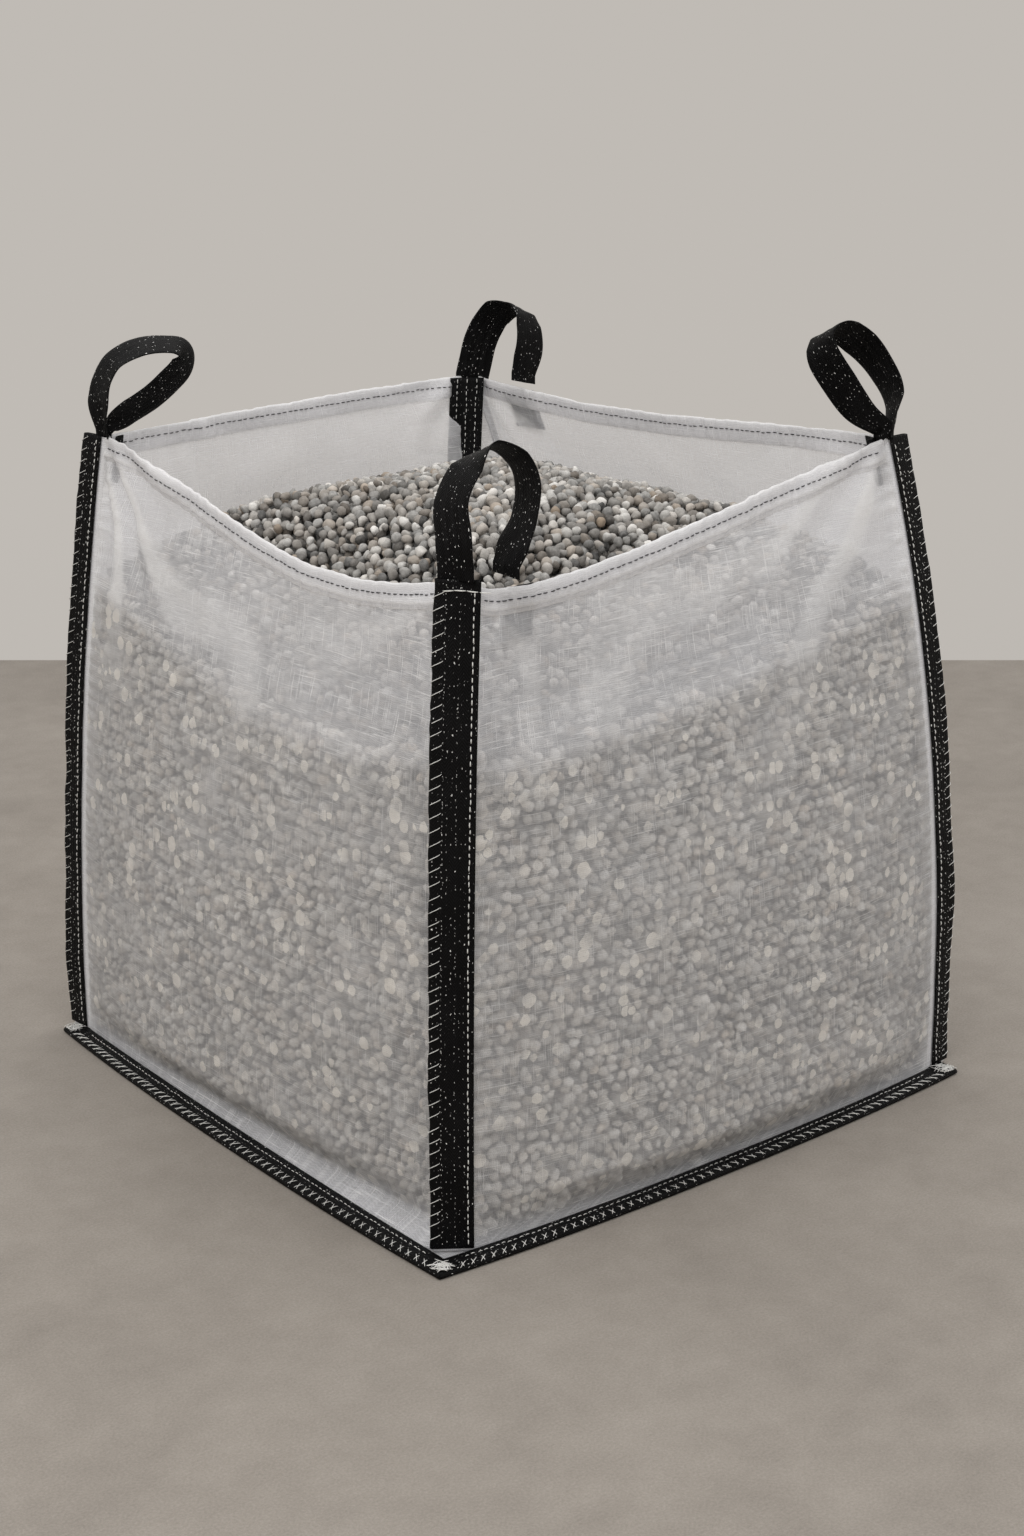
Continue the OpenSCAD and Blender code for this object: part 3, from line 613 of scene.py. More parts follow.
IMPRINT = []
under = {"c": [], "r": []}
gravel_pieces = []
for k, side in enumerate(SIDES):
    local = np.random.default_rng(100 + k)
    x, z = hex_points(0.012, 0.828, 0.020, 0.72, 0.0166, local, 0.24)
    s = x / WALL_W
    keep = z < fill_z(k, s) + 0.004
    x, z, s = x[keep], z[keep], s[keep]
    r = local.uniform(0.0068, 0.0096, len(s)) * np.where(local.random(len(s)) < 0.05, 1.38, 1.0)
    depth = local.uniform(0.0, 0.0030, len(s)) + (local.random(len(s)) < 0.25) * 0.0035
    normal = np.array([*side_normal(k), 0.0])
    shown = wall(k, s, z, -0.0016 - depth)
    # The wall stones behind the cloth take the paler gravel and a slightly lighter tone: painted light
    gravel_pieces.append(pebbles(f"gravel_wall_{side}", shown, r, FINE_SHAPES, PALE_LIT_GRAVEL, 200 + k,
                                 against=normal, light=0.02))
    IMPRINT.append((x, z, r, depth))
    x2, z2 = hex_points(0.014, 0.826, 0.016, 0.72, 0.0178, local, 0.2)
    keep = z2 < fill_z(k, x2 / WALL_W) - 0.006
    under["c"].append(wall(k, x2[keep] / WALL_W, z2[keep], -0.0165))
    under["r"].append(local.uniform(0.0085, 0.0115, keep.sum()))

# The mound: its outline at the fill line, and its height over any point inside
edge_s = np.linspace(0, 1, 60, endpoint=False)
outline = np.concatenate([wall(k, edge_s, fill_z(k, edge_s), -0.004) for k in range(4)])
edge_angle = np.arctan2(outline[:, 1], outline[:, 0])
order = np.argsort(edge_angle)
edge_angle, outline = edge_angle[order], outline[order]
edge_radius = np.hypot(outline[:, 0], outline[:, 1])
PEAK = MOUTH_H - FILL_DROP + MOUND_H


def mound(x, y):
    a, r = np.arctan2(y, x), np.hypot(x, y)
    share = r / np.interp(a, edge_angle, edge_radius, period=2 * math.pi)
    low = np.interp(a, edge_angle, outline[:, 2], period=2 * math.pi)
    return lerp(PEAK, low, np.minimum(share, 1) ** 2.6), share


local = np.random.default_rng(300)
x, y = hex_points(-0.45, 0.45, -0.45, 0.45, 0.0148, local, 0.26)
z, share = mound(x, y)
keep = share < 0.985
x, y, z = x[keep], y[keep], z[keep]
r = local.uniform(0.0066, 0.0096, len(x)) * np.where(local.random(len(x)) < 0.05, 1.25, 1.0)
z = z - r * 0.55 + local.uniform(-0.0035, 0.0035, len(x)) + 0.004 * noise(x / 0.05, y / 0.05, 9)
for name, part in (("gravel_top_front", y < 0), ("gravel_top_back", y >= 0)):
    gravel_pieces.append(pebbles(name, np.stack([x, y, z], -1)[part], r[part], FINE_SHAPES, STONE,
                                 310 + part.sum() % 7))
x, y = hex_points(-0.45, 0.45, -0.45, 0.45, 0.0170, local, 0.2)
z, share = mound(x, y)
keep = share < 0.97
under["c"].append(np.stack([x, y, z - 0.016], -1)[keep])
under["r"].append(local.uniform(0.0085, 0.0115, keep.sum()))
# The deeper layer is darker in tone: painted shade in the gaps
gravel_pieces.append(pebbles("gravel_under", np.concatenate(under["c"]), np.concatenate(under["r"]),
                             PLAIN_SHAPES, STONE, 330, light=-0.16))

# A dark sheet that closes what shows between the stones: it stands for the gravel further in, kept dark as
# painted shade
core_s = np.arange(24) / 24
core = [np.concatenate([wall(k, core_s, lerp(0.012, fill_z(k, core_s), t), -0.022) for k in range(4)])
        for t in (0, 0.03, 0.08, 0.2, 0.4, 0.6, 0.8, 0.97)]
rim = core[-1]
for share in (0.85, 0.7, 0.55, 0.4, 0.25, 0.1):
    ring = rim.copy()
    ring[:, :2] *= share
    ring[:, 2] = mound(ring[:, 0], ring[:, 1])[0] - 0.022
    core.append(ring)
core = np.array(core)
rows, cols = core.shape[:2]
core_piece = make("gravel_core", core,
                  [grid_faces(rows, cols, True), np.arange(cols)[None, ::-1],
                   (rows - 1) * cols + np.arange(cols)[None]],
                  STONE, attrs={"tone": np.full(rows * cols, 0.22),
                                          "warm": np.zeros(rows * cols)}, replaces=("gravel_fill",))
gravel_pieces.append(core_piece)


# ---------------------------------------------------------------- cloth
def imprint(k, x, z):
    """Height map of the stones that press on a wall, blurred as tight cloth would."""
    gx, gz = np.unique(x), np.unique(np.round(z, 5))
    px, pz, pr, depth = IMPRINT[k]
    field = np.full((len(gz), len(gx)), -0.004)
    for cx, cz, cr, cd in zip(px, pz, pr, depth):
        i0, i1 = np.searchsorted(gx, (cx - cr, cx + cr))
        j0, j1 = np.searchsorted(gz, (cz - cr, cz + cr))
        if i1 <= i0 or j1 <= j0:
            continue
        dd = ((gx[None, i0:i1] - cx) ** 2 + (gz[j0:j1, None] - cz) ** 2) / cr**2
        cap = -cd - 0.0035 * dd
        field[j0:j1, i0:i1] = np.where(dd < 1, np.maximum(field[j0:j1, i0:i1], cap), field[j0:j1, i0:i1])
    for _ in range(2):
        padded = np.pad(field, 1, mode="edge")
        field = (padded[:-2, 1:-1] + padded[2:, 1:-1] + padded[1:-1, :-2] + padded[1:-1, 2:] + 2 * field) / 6
    return gx, gz, field


for k, side in enumerate(SIDES):
    n = (k + 1) % 4
    cols_s = np.linspace(0, 1, 231)[1:-1]
    rows_t = np.linspace(0, 1, 231)
    reach = np.linspace(CORNER_FOLD - 0.0045, 0, 8)
    bottom = 0.0048
    top = hem_z(k, cols_s) - 0.002
    z = bottom + (top - bottom)[None] * rows_t[:, None]
    s = np.broadcast_to(cols_s, z.shape)
    off, pale = folds(k, s, z)
    gx, gz, field = imprint(k, np.arange(0.0, WALL_W, IMPRINT_STEP),
                            np.arange(0.0, 0.75, IMPRINT_STEP))
    jx = np.clip((s * WALL_W / IMPRINT_STEP), 0, len(gx) - 2)
    jz = np.clip(z / IMPRINT_STEP, 0, len(gz) - 2)
    i0, j0 = jx.astype(int), jz.astype(int)
    fx, fz = jx - i0, jz - j0
    pressed = lerp(lerp(field[j0, i0], field[j0, i0 + 1], fx),
                   lerp(field[j0 + 1, i0], field[j0 + 1, i0 + 1], fx), fz)
    held = smooth(0.0, 0.035, fill_z(k, s) - z) * smooth(0.012, 0.05, z)
    off = off + held * (pressed + 0.002) * 0.40
    sheet = wall(k, s, z, off + CLOTH_OFF)
    foot = base_point(k, s, half_w(0.0), foot_line(k, s) + CLOTH_OFF, z)
    at_foot = smooth(0.026, 0.005, z) * smooth(0, 0.05, s) * smooth(1, 0.95, s)
    sheet = lerp(sheet, foot, at_foot[..., None])
    # Seam allowances, each on its own side of the seam, so that a corner's two lie face to face
    fins = []
    for c, rr, sign in ((k, reach, 1), (n, reach[::-1], -1)):
        zz = (bottom + (corner_z(c) - 0.002 - bottom) * rows_t)[:, None]
        fins.append(fold_point(c, zz, rr[None], -CLOTH_OFF if sign > 0 else CLOTH_OFF))
    full = np.concatenate([fins[0], sheet, fins[1]], 1)
    rows, cols = full.shape[:2]
    u = np.concatenate([-reach, cols_s * WALL_W, WALL_W + reach[::-1]]) + 1.1 * k
    uv = np.stack(np.broadcast_arrays(u[None], full[..., 2] + 0.0), -1)
    pale = np.concatenate([np.full((rows, 8), 0.6), pale, np.full((rows, 8), 0.6)], 1)
    touch = np.pad(held * np.clip(1 + pressed / 0.0048, 0, 1), ((0, 0), (8, 8)))
    packed = np.pad(held, ((0, 0), (8, 8)))
    make(f"panel_{side}", full, grid_faces(rows, cols), CLOTH, uv=uv,
                       attrs={"pale": pale, "touch": touch, "packed": packed},
                       replaces=(f"side_panel_{side}",))

# Hems: a folded sleeve over each panel's top edge, with a puckered lower edge
for k, side in enumerate(SIDES):
    s = np.linspace(0.006, 0.994, 260)
    run = s * WALL_W
    pucker = 0.0009 * np.sin(run / 0.0038 + 3 * noise(run / 0.03, k * 1.0, 12))
    pucker = pucker + 0.0006 * noise(run / 0.011, k * 1.0, 13)
    lip = 0.0012 * noise(run / 0.05, k * 1.0, 14) + 0.0007 * noise(run / 0.014, k * 1.0, 15)
    profile = [(0.0012, -0.0305, 0.7), (0.0020, -0.0296, 0.8), (0.0020, -0.0250, 0.6),
               (0.0034, -0.0234, 1.0), (0.0035, -0.0195, 0.7),
               (0.0026, -0.0130, 0.2), (0.0032, -0.0075, 0.6), (0.0025, -0.0022, 0.3),
               (0.0010, -0.0002, 0.1), (-0.0006, -0.0004, 0.1),
               (-0.0016, -0.0030, 0.3), (-0.0019, -0.0090, 0.5), (-0.0014, -0.0130, 0.2),
               (-0.0020, -0.0200, 0.6), (-0.0021, -0.0270, 0.7), (-0.0012, -0.0300, 0.6)]
    rows_p = []
    for d, dz, amount in profile:
        z = hem_z(k, s) + dz + lip * (1 if dz > -0.01 else 0.4)
        rows_p.append(cloth(k, s, z, d + pucker * amount))
    shape = np.array(rows_p)
    v = np.array([p[1] for p in profile])[:, None] + np.where(np.arange(len(profile)) > 8, 0.05, 0)[:, None]
    uv = np.stack(np.broadcast_arrays(run[None] + 1.1 * k, v + 2.0), -1)
    # Paler, more opaque rows on the hem: the paleness is painted highlight along its top fold, its outer
    # bulge and its lower edge
    bright = np.array([0.6, 0.8, 0.2, 1.0, 0.45, 0.0, 0.25, 0.5, 0.9, 0.9, 0.4, 0.2, 0.1, 0.1, 0.3, 0.7])
    bright = bright[:, None] * np.ones((1, len(s)))
    make(f"hem_{side}", shape, grid_faces(*shape.shape[:2]), HEM, uv=uv,
                     attrs={"pale": bright}, replaces=(f"mouth_hem_{side}",))

# Base panel: laid on the floor inside the base bindings
grid = np.linspace(-1, 1, 61)
gx, gy = np.meshgrid(grid, grid)
floor_z = 0.0030 + 0.0004 * noise(gx * 9, gy * 9, 17)
span = 0.438 + 0.010 * (1 - np.abs(np.stack([gy, gx], -1)) ** 2.4)
base_verts = np.stack([gx * span[..., 0], gy * span[..., 1], floor_z], -1)
uv = np.stack([base_verts[..., 0] + 8, base_verts[..., 1]], -1)
base_piece = make("base_cloth", base_verts, grid_faces(61, 61), CLOTH, uv=uv,
                  attrs={"pale": np.full(gx.shape, 0.15)}, replaces=("base_panel",))


# ---------------------------------------------------------------- webbing
def folded_profile(a, b, edge, half, thick):
    """Closed section of a band folded over an edge: legs to a and b, in (r, h)."""
    mid = half - thick / 2
    bend = np.linspace(math.pi / 2, -math.pi / 2, 7)
    line = np.concatenate([
        np.stack([np.linspace(a, edge - half, 8), np.full(8, mid)], -1),
        np.stack([edge - half + mid * np.cos(bend), mid * np.sin(bend)], -1)[1:-1],
        np.stack([np.linspace(edge - half, b, 9), np.full(9, -mid)], -1)])
    t = np.gradient(line, axis=0)
    t /= np.linalg.norm(t, axis=1, keepdims=True)
    n = np.stack([-t[:, 1], t[:, 0]], -1) * thick / 2
    length = np.concatenate([[0], np.cumsum(np.linalg.norm(np.diff(line, axis=0), axis=1))])
    n[[0, -1]] *= 0.55
    return np.concatenate([line + n, (line - n)[::-1]]), np.concatenate([length, length[::-1]])


def there_and_back(values):
    return np.concatenate([values, values[::-1]])


def lofted(name, rings, u, v, replaces=(), body="sack", mat=WEB):
    """Closed band through rings of points; u is along each ring and v along the band."""
    rings = np.asarray(rings)
    rows, cols = rings.shape[:2]
    uv = np.stack(np.broadcast_arrays(np.asarray(u)[None], np.asarray(v)[:, None]), -1)
    caps = [np.arange(cols)[None, ::-1], (rows - 1) * cols + np.arange(cols)[None]]
    return outward(make(name, rings, [grid_faces(rows, cols, True), *caps], mat, body, uv=uv,
                        replaces=replaces))


for k, corner in enumerate(CORNERS):
    z = np.linspace(WALL_Z, corner_z(k) - 0.0005, 190)
    edge = CORNER_FOLD + 0.0012 * noise(z / 0.035, k * 7.0, 21) + 0.0006 * noise(z / 0.012, k * 7.0, 22)
    rings = []
    for zi, ei in zip(z, edge):
        section, u = folded_profile(CORNER_EDGE[k][1], CORNER_EDGE[k][0], ei, HALF_T + 0.0002, WEB_T)
        rings.append(fold_point(k, zi, section[:, 0], section[:, 1]))
    lofted(f"binding_{corner}", rings, u, z, (f"corner_binding_{corner}",))


def binding_lift(k, s):
    """How far a base binding's upper leg stands up at its outer edge."""
    return 0.0010 * (1 + noise(s * 9, k * 2.0, 24)) * smooth(0, 0.06, s) * smooth(1, 0.94, s)


def binding_inner(k, s):
    """Where a base binding's upper leg starts, at the corners and along the side."""
    return half_w(0.0) + PANEL_T + 3 * GAP, foot_line(k, s) + PANEL_T + 3 * GAP


def on_binding(k, s, q, rise):
    """Points rise above a base binding's upper leg; q goes from its inner edge to its outer one."""
    upper, inner = binding_inner(k, s)
    z = BOUND_H + rise + binding_lift(k, s) * q**3
    return base_point(k, s, lerp(upper, BASE_W / 2 - GAP, q), lerp(inner, edge_line(k, s), q), z)


for k, side in enumerate(SIDES):
    s = np.linspace(0, 1, 150)
    lift = binding_lift(k, s)
    rings = []
    for si, li in zip(s, lift):
        (upper, inner), edge, corner_out = binding_inner(k, si), edge_line(k, si), BASE_W / 2 - GAP
        profile = []
        for q in np.linspace(0, 0.93, 7):
            profile.append((lerp(upper, corner_out, q), lerp(inner, edge, q), BOUND_H + li * q**3))
        profile += [(corner_out - 0.0007, edge - 0.0007, BOUND_H - 0.0012 + li),
                    (corner_out, edge, BOUND_H / 2), (corner_out - 0.0007, edge - 0.0007, 0.0012)]
        for q in (0.003, 0.014, 0.027, 0.040):
            profile.append((corner_out - q, edge - q, 0.0))
        for q in (0.040, 0.027, 0.014, 0.0045):
            profile.append((corner_out - q, edge - q, WEB_T))
        profile += [(corner_out - WEB_T, edge - WEB_T, BOUND_H / 2)]
        for q in np.linspace(0.88, 0, 7):
            profile.append((lerp(upper, corner_out, q), lerp(inner, edge, q), UPPER_LEG_Z + li * q**3))
        profile = np.array(profile)
        rings.append(base_point(k, si, profile[:, 0], profile[:, 1], profile[:, 2]))
    u = np.concatenate([[0], np.cumsum(np.linalg.norm(np.diff(np.asarray(rings[60]), axis=0), axis=1))])
    lofted(f"base_binding_web_{side}", rings, u, s * BASE_W, (f"base_binding_{side}",))


def spline(points, u):
    p = np.concatenate([[2 * points[0] - points[1]], points, [2 * points[-1] - points[-2]]])
    i = np.minimum(np.floor(u).astype(int), len(p) - 4)
    t = (u - i)[:, None]
    a, b, c, d = p[i], p[i + 1], p[i + 2], p[i + 3]
    return 0.5 * (2 * b + (c - a) * t + (2 * a - 5 * b + 4 * c - d) * t**2 + (3 * b - a - 3 * c + d) * t**3)


def loop_start(k):
    dist, angle = LOOP_STAND[k]
    return np.array([*(seam(k, np.array(corner_z(k))) + unit(angle) * dist), corner_z(k) + FOLD_GAP])


for k, corner in enumerate(CORNERS):
    route = np.array(LOOP_ROUTE[k], float) / 1000
    spans = len(route) - 1
    u = np.linspace(0, 1, 150)
    start = loop_start(k)
    p = start + spline(route, u * spans)
    step = 0.005
    t = spline(route, np.minimum(1, u + step) * spans) - spline(route, np.maximum(0, u - step) * spans)
    t /= np.linalg.norm(t, axis=1, keepdims=True)
    lean = LOOP_VIEW - t * (t @ LOOP_VIEW)[:, None]
    lean /= np.linalg.norm(lean, axis=1, keepdims=True)
    face = np.interp(u * spans, np.arange(spans + 1), LOOP_FACE[k])[:, None]
    w = LOOP_LEAN[k] * np.sqrt(1 - face**2) * lean - face * np.cross(t, lean)
    n = np.cross(t, w)
    kept = lerp(np.where(u < 0.5, *LOOP_FOOT[k]), 1, smooth(0, GATHER, np.minimum(u, 1 - u)))
    # Both legs carry on down to the cloth that they are sewn to
    tuck = np.linspace(0.012, 0.0015, 6)[:, None]
    down = np.array([[0, 0, -1.0]])
    p = np.concatenate([p[:1] + down * tuck, p, p[-1:] + down * tuck[::-1]])
    w, n, t = (np.concatenate([np.repeat(q[:1], 6, 0), q, np.repeat(q[-1:], 6, 0)]) for q in (w, n, t))
    kept = np.concatenate([np.full(6, kept[0]), kept, np.full(6, kept[-1])])
    length = np.concatenate([[0], np.cumsum(np.linalg.norm(np.diff(p, axis=0), axis=1))])
    x = np.linspace(-1, 1, 13)
    depth = 0.30 * WEB_W / 2 * np.sqrt(np.maximum(0, 1 - kept**2))
    cup = 0.0016 * np.sin(length / 0.045 + k)
    bulge = depth[:, None] * (np.cos(x * math.pi)[None] * 0.5) + cup[:, None] * (x**2 - 0.4)[None]
    ripple = 0.0005 * noise(length[:, None] / 0.02, x[None] * 3 + 9 * k, 26)
    half_band = w[:, None] * (x * WEB_W / 2)[None, :, None] * kept[:, None, None]
    mid = p[:, None] + half_band + n[:, None] * (bulge + ripple)[..., None]
    thick = WEB_T / 2 * np.where(np.abs(x) > 0.98, 0.55, 1.0)
    rings = np.concatenate([mid + n[:, None] * thick[None, :, None],
                            (mid - n[:, None] * thick[None, :, None])[:, ::-1]], 1)
    uu = there_and_back((x + 1) * WEB_W / 2)
    piece = lofted(f"loop_{corner}", rings, uu, length, (f"lifting_loop_{corner}",), body=None)
    foot = (start + p[-1]) / 2
    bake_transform(piece)


def inner_tail(k, depth, name, replaces):
    """Webbing lying in a corner inside the sack, bent round it, wings on both walls."""
    z = np.linspace(corner_z(k) - 0.0005, corner_z(k) - depth, max(12, int(depth / 0.005)))
    x = np.linspace(-1, 1, 15)
    wing = WEB_W / 2
    inset, middle_inset, bend_reach, bend_in = 0.0045, 0.0055, 0.28, 0.004
    inward = -(side_normal(k) + side_normal((k + 3) % 4))
    bent = np.exp(-(x / bend_reach) ** 2)[:, None]
    rings, mids = [], []
    for zi in z:
        share = wing / (2 * half_w(np.array(zi)))
        a = wall(k, share, zi, -inset)
        b = wall((k + 3) % 4, 1 - share, zi, -inset)
        c = np.array([*(seam(k, np.array(zi)) + inward * middle_inset), zi])
        plain = np.where(x[:, None] < 0, lerp(b, c, x[:, None] + 1), lerp(c, a, x[:, None]))
        line = plain + bent * bend_in * np.array([*inward / math.sqrt(2), 0])
        t = np.gradient(line, axis=0)
        t /= np.linalg.norm(t, axis=1, keepdims=True)
        nn = np.stack([-t[:, 1], t[:, 0], np.zeros(len(t))], -1)
        nn = nn * np.sign(nn @ np.array([*inward, 0]))[:, None]
        rings.append(np.concatenate([line + nn * WEB_T, line[::-1]]))
        mids.append((line + nn * WEB_T, nn))
    uu = there_and_back((x + 1) * wing)
    lofted(name, rings, uu, z, replaces)
    return mids


def flat_tail(k, s0, s1, depth, d, name, replaces):
    z_top = min(hem_z(k, s0), hem_z(k, s1)) - 0.001
    t = np.linspace(0, 1, 16)
    x = np.linspace(0, 1, 13)
    rings, mids = [], []
    for ti in t:
        s = lerp(s0, s1, x)
        z = np.full_like(s, z_top - depth * ti)
        line = cloth(k, s, z, d)
        nn = np.array([*side_normal(k), 0]) * np.sign(d)
        rings.append(np.concatenate([line + nn * WEB_T, line[::-1]]))
        mids.append((line + nn * WEB_T, np.repeat(nn[None], len(x), 0)))
    uu = there_and_back(x * WEB_W)
    lofted(name, rings, uu, z_top - depth * t, replaces)
    return mids


width = WEB_W / (2 * half_w(np.array(MOUTH_H)))
tails = {
    "loop_tail_front_left": flat_tail(0, 0.055, 0.055 + width, TAIL_H, -0.0038, "tail_front_left",
                                      ("loop_tail_front_left",)),
    "loop_tail_outer_back_right": flat_tail(1, 0.925 - width, 0.925, TAIL_H, 0.0052,
                                            "tail_outer_back_right", ("loop_tail_outer_back_right",)),
}
for k in (1, 3):
    tails[f"loop_tail_{CORNERS[k]}"] = inner_tail(k, TAIL_H, f"tail_{CORNERS[k]}",
                                                  (f"loop_tail_{CORNERS[k]}",))

# The long tail hangs straight down inside its corner, flat across it
t = np.linspace(0, 1, 40)[:, None]
x = np.linspace(-1, 1, 15)[None]
way, lean_in = np.array([0.781, -0.625, 0.0]), np.array([0.625, 0.781, 0.0])
top = np.array([*(seam(2, np.array(corner_z(2))) - 0.0225), corner_z(2) - 0.0005])
sideways = x * WEB_W / 2 - 0.010 * t
wave = 0.0018 * np.sin(5.0 * t + 1.5 * x)
flat = top + way * sideways[..., None] + lean_in * wave[..., None]
flat = flat - np.array([0, 0, 1.0]) * (LONG_TAIL_H * t + 0 * x)[..., None]
lofted("tail_back_right", np.concatenate([flat, (flat + lean_in * WEB_T)[:, ::-1]], 1),
       there_and_back((x[0] + 1) * WEB_W / 2), flat[:, 0, 2], ("loop_tail_back_right",))
tails["loop_tail_back_right"] = [(row, np.repeat(-lean_in[None], 15, 0)) for row in flat]


# ---------------------------------------------------------------- thread
def sewn(name, groups, mat, replaces=(), radius=0.00062):
    """One piece of thread from several sets of paths."""
    verts, faces, caps, base = [], [], [], 0
    for paths in groups:
        if len(paths) == 0:
            continue
        v, (f, c) = tubes(paths, radius)
        verts.append(v)
        faces.append(f + base)
        caps.append(c + base)
        base += len(v)
    return make(name, np.concatenate(verts), [np.concatenate(faces), np.concatenate(caps)], mat,
                replaces=replaces)


for k, corner in enumerate(CORNERS):
    top = corner_z(k)
    z = np.linspace(WALL_Z + 0.004, top - 0.003, 400)
    n = np.array([*unit(FOLD_ANGLE[k] - 90), 0])
    rows_made, over = [], []
    for leg, sign in ((0, -1), (1, 1)):
        first = CORNER_EDGE[k][leg] + 0.007
        normals = np.repeat(sign * n[None], len(z), 0)
        h = sign * (HALF_T + 0.0004)
        rows_made.append(stitch_paths(fold_point(k, z, first, h), normals, 0.0058, 0.0030, 0.0006,
                                      400 + 10 * k + leg))
        # Broken rows of pale warp threads in the webbing's middle and beside the overlock
        for place, seed, keep_share in ((CORNER_FOLD - 0.0145, 1, 0.9),
                                        (lerp(first, CORNER_FOLD - 0.0145, 0.5), 2, 0.55)):
            paths = stitch_paths(fold_point(k, z, place, h - sign * 0.0002), normals, 0.0016, 0.0058,
                                 0.0004, 440 + 10 * k + 3 * leg + seed, 0.0005)
            chosen = np.random.default_rng(470 + 10 * k + leg + seed).random(len(paths)) < keep_share
            over.append(paths[chosen])
    local = np.random.default_rng(500 + k)
    at = np.arange(WALL_Z + 0.010, top - 0.010, 0.0158)
    at = at + local.uniform(-0.0012, 0.0012, len(at))
    for sign, slope in ((-1, 0.0095), (1, -0.0055)):
        # From the inner end of each stitch, out over the edge
        r = CORNER_FOLD + np.array([-0.0135, -0.0115, -0.0085, -0.005, -0.002, 0.0002, 0.0009])
        h = np.array([HALF_T - 0.0004, HALF_T + 0.0006, HALF_T + 0.0007, HALF_T + 0.0007, HALF_T + 0.0004,
                      HALF_T * 0.55, 0.0])
        stray = local.uniform(-0.0008, 0.0008, (len(at), 1))
        zz = at[:, None] + slope * (1 - np.linspace(0, 1, 7))[None] + stray
        rr = r[None] + local.uniform(-0.0006, 0.0006, (len(at), 1))
        over.append(fold_point(k, zz, rr, sign * h[None]))
    sewn(f"thread_rows_{corner}", rows_made, THREAD, (f"corner_stitching_{corner}",), 0.00072)
    sewn(f"thread_overlock_{corner}", over, THREAD, (f"corner_overlock_{corner}",), 0.00046)

for k, side in enumerate(SIDES):
    s = np.linspace(0.035, 0.965, 500)
    n = np.repeat(np.array([[0, 0, 1.0]]), len(s), 0)
    groups = [stitch_paths(on_binding(k, s, 0.30, 0.0004), n, 0.0055, 0.0032, 0.0006, 600 + k)]
    local = np.random.default_rng(620 + k)
    at = np.arange(0.03, 0.97, 0.0150 / BASE_W)
    w = np.linspace(0, 1, 7)
    for slope in (0.006, -0.006):
        stray = local.uniform(-0.001, 0.001, (len(at), 1))
        ss = at[:, None] + (slope * w / BASE_W)[None] + stray + (0 if slope > 0 else 0.0075 / BASE_W)
        q = np.linspace(0.58, 0.955, 7)[None] + local.uniform(-0.02, 0.02, (len(at), 1))
        groups.append(on_binding(k, ss, q, 0.0006 + np.array([-0.0008, 0, 0, 0, 0, -0.0002, -0.0010])))
    sewn(f"thread_base_{side}", groups, THREAD, (f"base_stitching_{side}",), 0.00052)

    s = np.linspace(0.012, 0.988, 600)
    z = hem_z(k, s) - HEM_ROW
    n = np.repeat(np.array([[*side_normal(k), 0]]), len(s), 0)
    outer = stitch_paths(cloth(k, s, z, 0.0034), n, 0.0064, 0.0034, 0.0007, 640 + k)
    inner_row = stitch_paths(cloth(k, s, z, -0.0022), -n, 0.0064, 0.0034, 0.0007, 650 + k)
    sewn(f"thread_hem_{side}", [outer, inner_row], DARK_THREAD, (f"hem_stitching_{side}",),
         0.00085)

for k, corner in enumerate(CORNERS):
    # A bunch of loose overlock thread where the bindings cross
    local = np.random.default_rng(700 + k)
    centre = np.array([*(SIGN[k] * (BASE_W / 2 - 0.013)), BOUND_H + 0.0012])
    paths = []
    for i in range(34):
        turn = local.uniform(0, 2 * math.pi)
        way = np.array([math.cos(turn), math.sin(turn), 0])
        side_way = np.array([-way[1], way[0], 0])
        reach = local.uniform(0.005, 0.012)
        at0 = centre + np.array([*local.normal(0, 0.0050, 2), 0])
        w = np.linspace(-1, 1, 9)
        bend = local.uniform(-0.4, 0.4)
        path = at0 + way * (w * reach)[:, None] + side_way * (bend * reach * (1 - w**2))[:, None]
        path[:, 2] += 0.0022 * (1 - w**2) * local.uniform(0.2, 1.0)
        paths.append(path)
    paths = np.array(paths)
    limit = BASE_W / 2 - 0.001
    paths[..., 0] = np.clip(paths[..., 0], -limit, limit)
    paths[..., 1] = np.clip(paths[..., 1], -limit, limit)
    sewn(f"thread_tack_{corner}", [paths], THREAD, (f"corner_tack_{corner}",), 0.0005)

# The long tail's three rows, and a row on the other tails
tail_groups = []
for name, mids in tails.items():
    lines = np.array([m[0] for m in mids])
    normals = np.array([m[1] for m in mids])
    for column in ((3, 7, 11) if "back_right" in name else (4, 9)):
        tail_groups.append(stitch_paths(lines[:, column], normals[:, column], 0.0055, 0.0035, 0.0006,
                                        760 + column))
sewn("thread_tails", tail_groups, THREAD, radius=0.0006)

# The hem's own seam crosses the near strap as one long white stitch line
r = np.linspace(CORNER_EDGE[0][0] - 0.012, CORNER_FOLD - 0.001, 60)
z = corner_z(0) - 0.0135 + 0.0012 * np.sin(r / 0.012)
line = fold_point(0, z, r, -(HALF_T + 0.0010))
line[:, 2] = z
n = np.repeat(np.array([[*-unit(FOLD_ANGLE[0] - 90), 0]]), len(r), 0)
sewn("thread_crossing", [stitch_paths(line, n, 0.0130, 0.0012, 0.0008, 790)], THREAD,
     radius=0.00085)

# ---------------------------------------------------------------- floor, light, camera
view_in = np.array([math.sin(math.radians(CAMERA_YAW)), math.cos(math.radians(CAMERA_YAW))])
view_right = np.array([view_in[1], -view_in[0]])


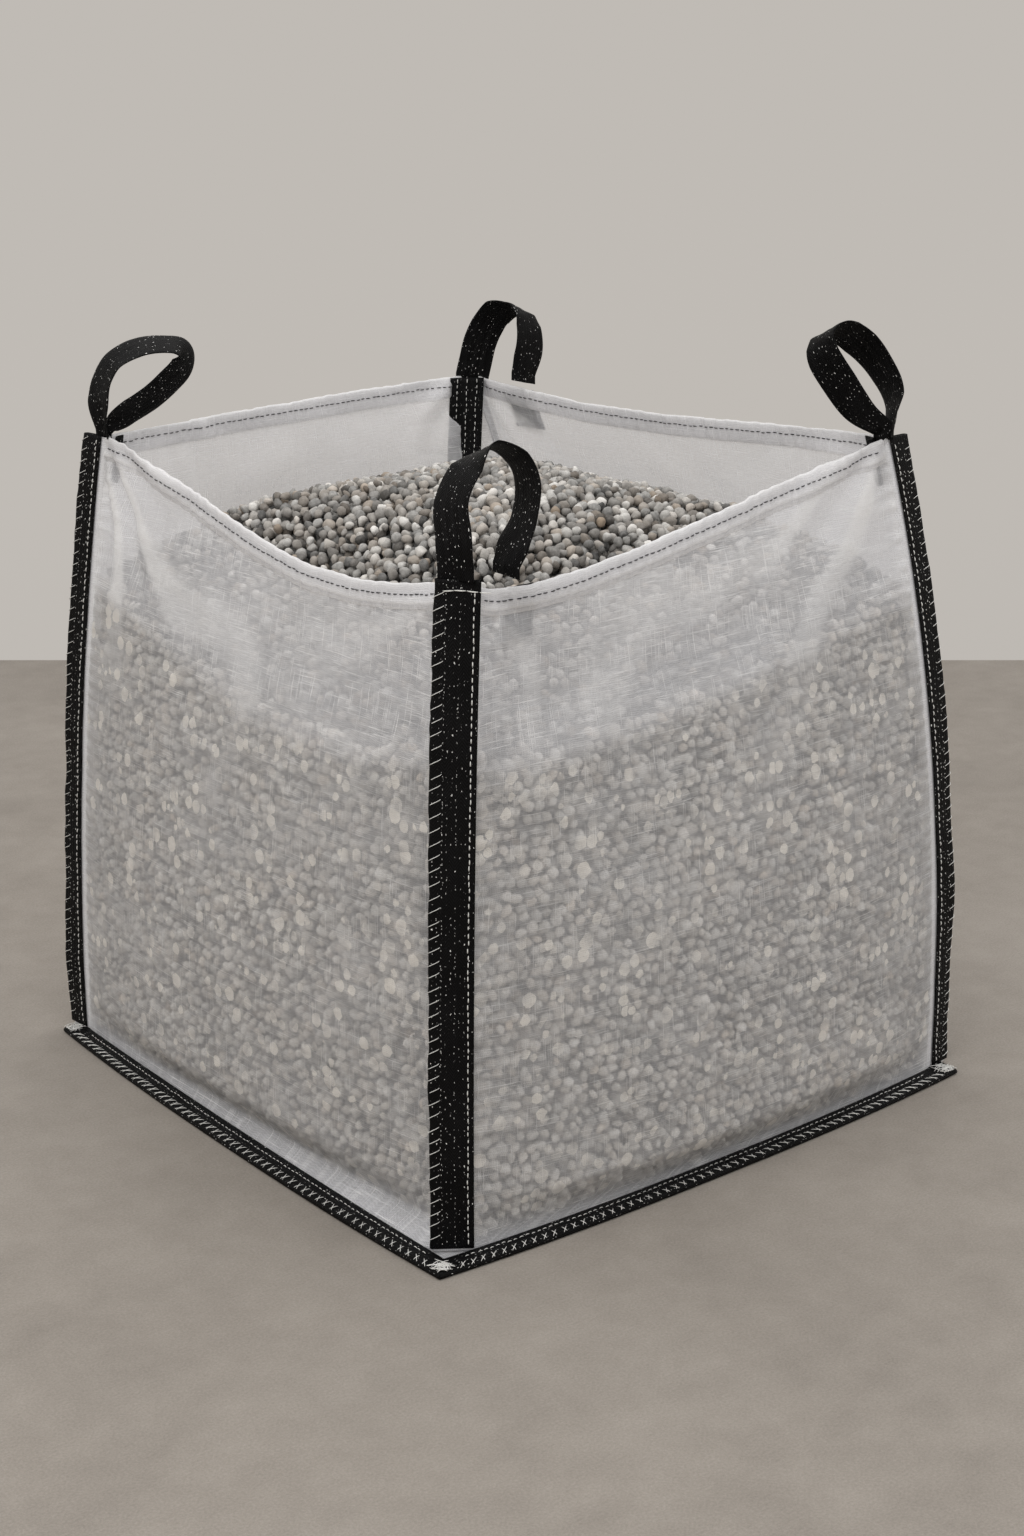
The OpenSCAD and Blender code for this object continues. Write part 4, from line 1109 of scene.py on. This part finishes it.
def concrete():
    mat, tree, out = started("concrete")
    place = add(tree, "ShaderNodeTexCoord").outputs["Object"]
    broad = noise_map(tree, place, 1.6, 4.0, 0.6)
    mid = noise_map(tree, place, 14.0, 5.0, 0.65)
    fine = noise_map(tree, place, 320.0, 4.0, 0.7)
    value = calc(tree, "MULTIPLY_ADD", broad, 0.32,
                 calc(tree, "MULTIPLY_ADD", mid, 0.24, calc(tree, "MULTIPLY", fine, 0.44)))
    colour = ramp(tree, value, [(0.36, (0.225, 0.203, 0.180)), (0.50, (0.288, 0.261, 0.232)),
                                (0.64, (0.350, 0.320, 0.288))])
    tree.links.new(surface(tree, colour, 0.78, bumped(tree, 0.25, 0.002, fine), 0.25), out.inputs[0])
    return mat


steps = np.linspace(0, 1, 25)
gu, gv = np.meshgrid(lerp(-6, 6, steps), lerp(-6, 2.06, steps))
ground = view_right * gu[..., None] + view_in * gv[..., None]
ground = np.concatenate([ground, np.full((*gu.shape, 1), -0.0002)], -1)
floor = make("floor", ground, grid_faces(25, 25), concrete(), body=None)

world = bpy.data.worlds.new("room")
world.use_nodes = True
tree = world.node_tree
tree.nodes.clear()
sky = add(tree, "ShaderNodeTexCoord").outputs["Generated"]
height = add(tree, "ShaderNodeSeparateXYZ", {0: sky}).outputs[2]
plaster = noise_map(tree, sky, 3.0, 3.0, 0.55)
tone = ramp(tree, calc(tree, "MULTIPLY_ADD", plaster, 0.10, calc(tree, "MULTIPLY_ADD", height, 0.5, 0.45)),
            [(0.30, (0.500, 0.472, 0.438)), (0.42, (0.528, 0.498, 0.463)), (0.64, (0.522, 0.493, 0.458)),
             (0.78, (0.66, 0.64, 0.62)), (1.0, (0.95, 0.94, 0.93))])
backing = add(tree, "ShaderNodeBackground", {"Color": tone, "Strength": 1.0})
tree.links.new(backing.outputs[0], add(tree, "ShaderNodeOutputWorld").inputs[0])
scene.world = world


def area_light(name, place, target, size, power, colour):
    data = bpy.data.lights.new(name, "AREA")
    data.shape = "RECTANGLE"
    data.size, data.size_y = size
    data.energy = power
    data.color = colour
    obj = bpy.data.objects.new(name, data)
    obj.location = place
    way = np.array(place) - np.array(target)
    flat = math.hypot(way[0], way[1])
    obj.rotation_euler = (math.atan2(flat, way[2]), 0, math.atan2(way[1], way[0]) + math.pi / 2)
    scene.collection.objects.link(obj)


area_light("key", (-2.6, -1.2, 3.2), (0, 0, 0.4), (3.0, 2.2), 50, (1.0, 0.98, 0.95))
area_light("top", (0.4, 0.4, 3.4), (0, 0, 0.4), (2.6, 2.6), 34, (1.0, 0.985, 0.965))
area_light("fill", (1.4, -3.2, 1.9), (0, 0, 0.4), (2.4, 1.8), 16, (0.98, 0.99, 1.0))
scene.view_settings.view_transform = "Standard"

camera = bpy.data.cameras.new("camera")
camera.lens, camera.sensor_width = 57.17, 36
eye = bpy.data.objects.new("camera", camera)
eye.location = (-1.9588, -2.4721, 1.4579)
eye.rotation_euler = (math.radians(71.845), 0, math.radians(-CAMERA_YAW))
scene.collection.objects.link(eye)
scene.camera = eye
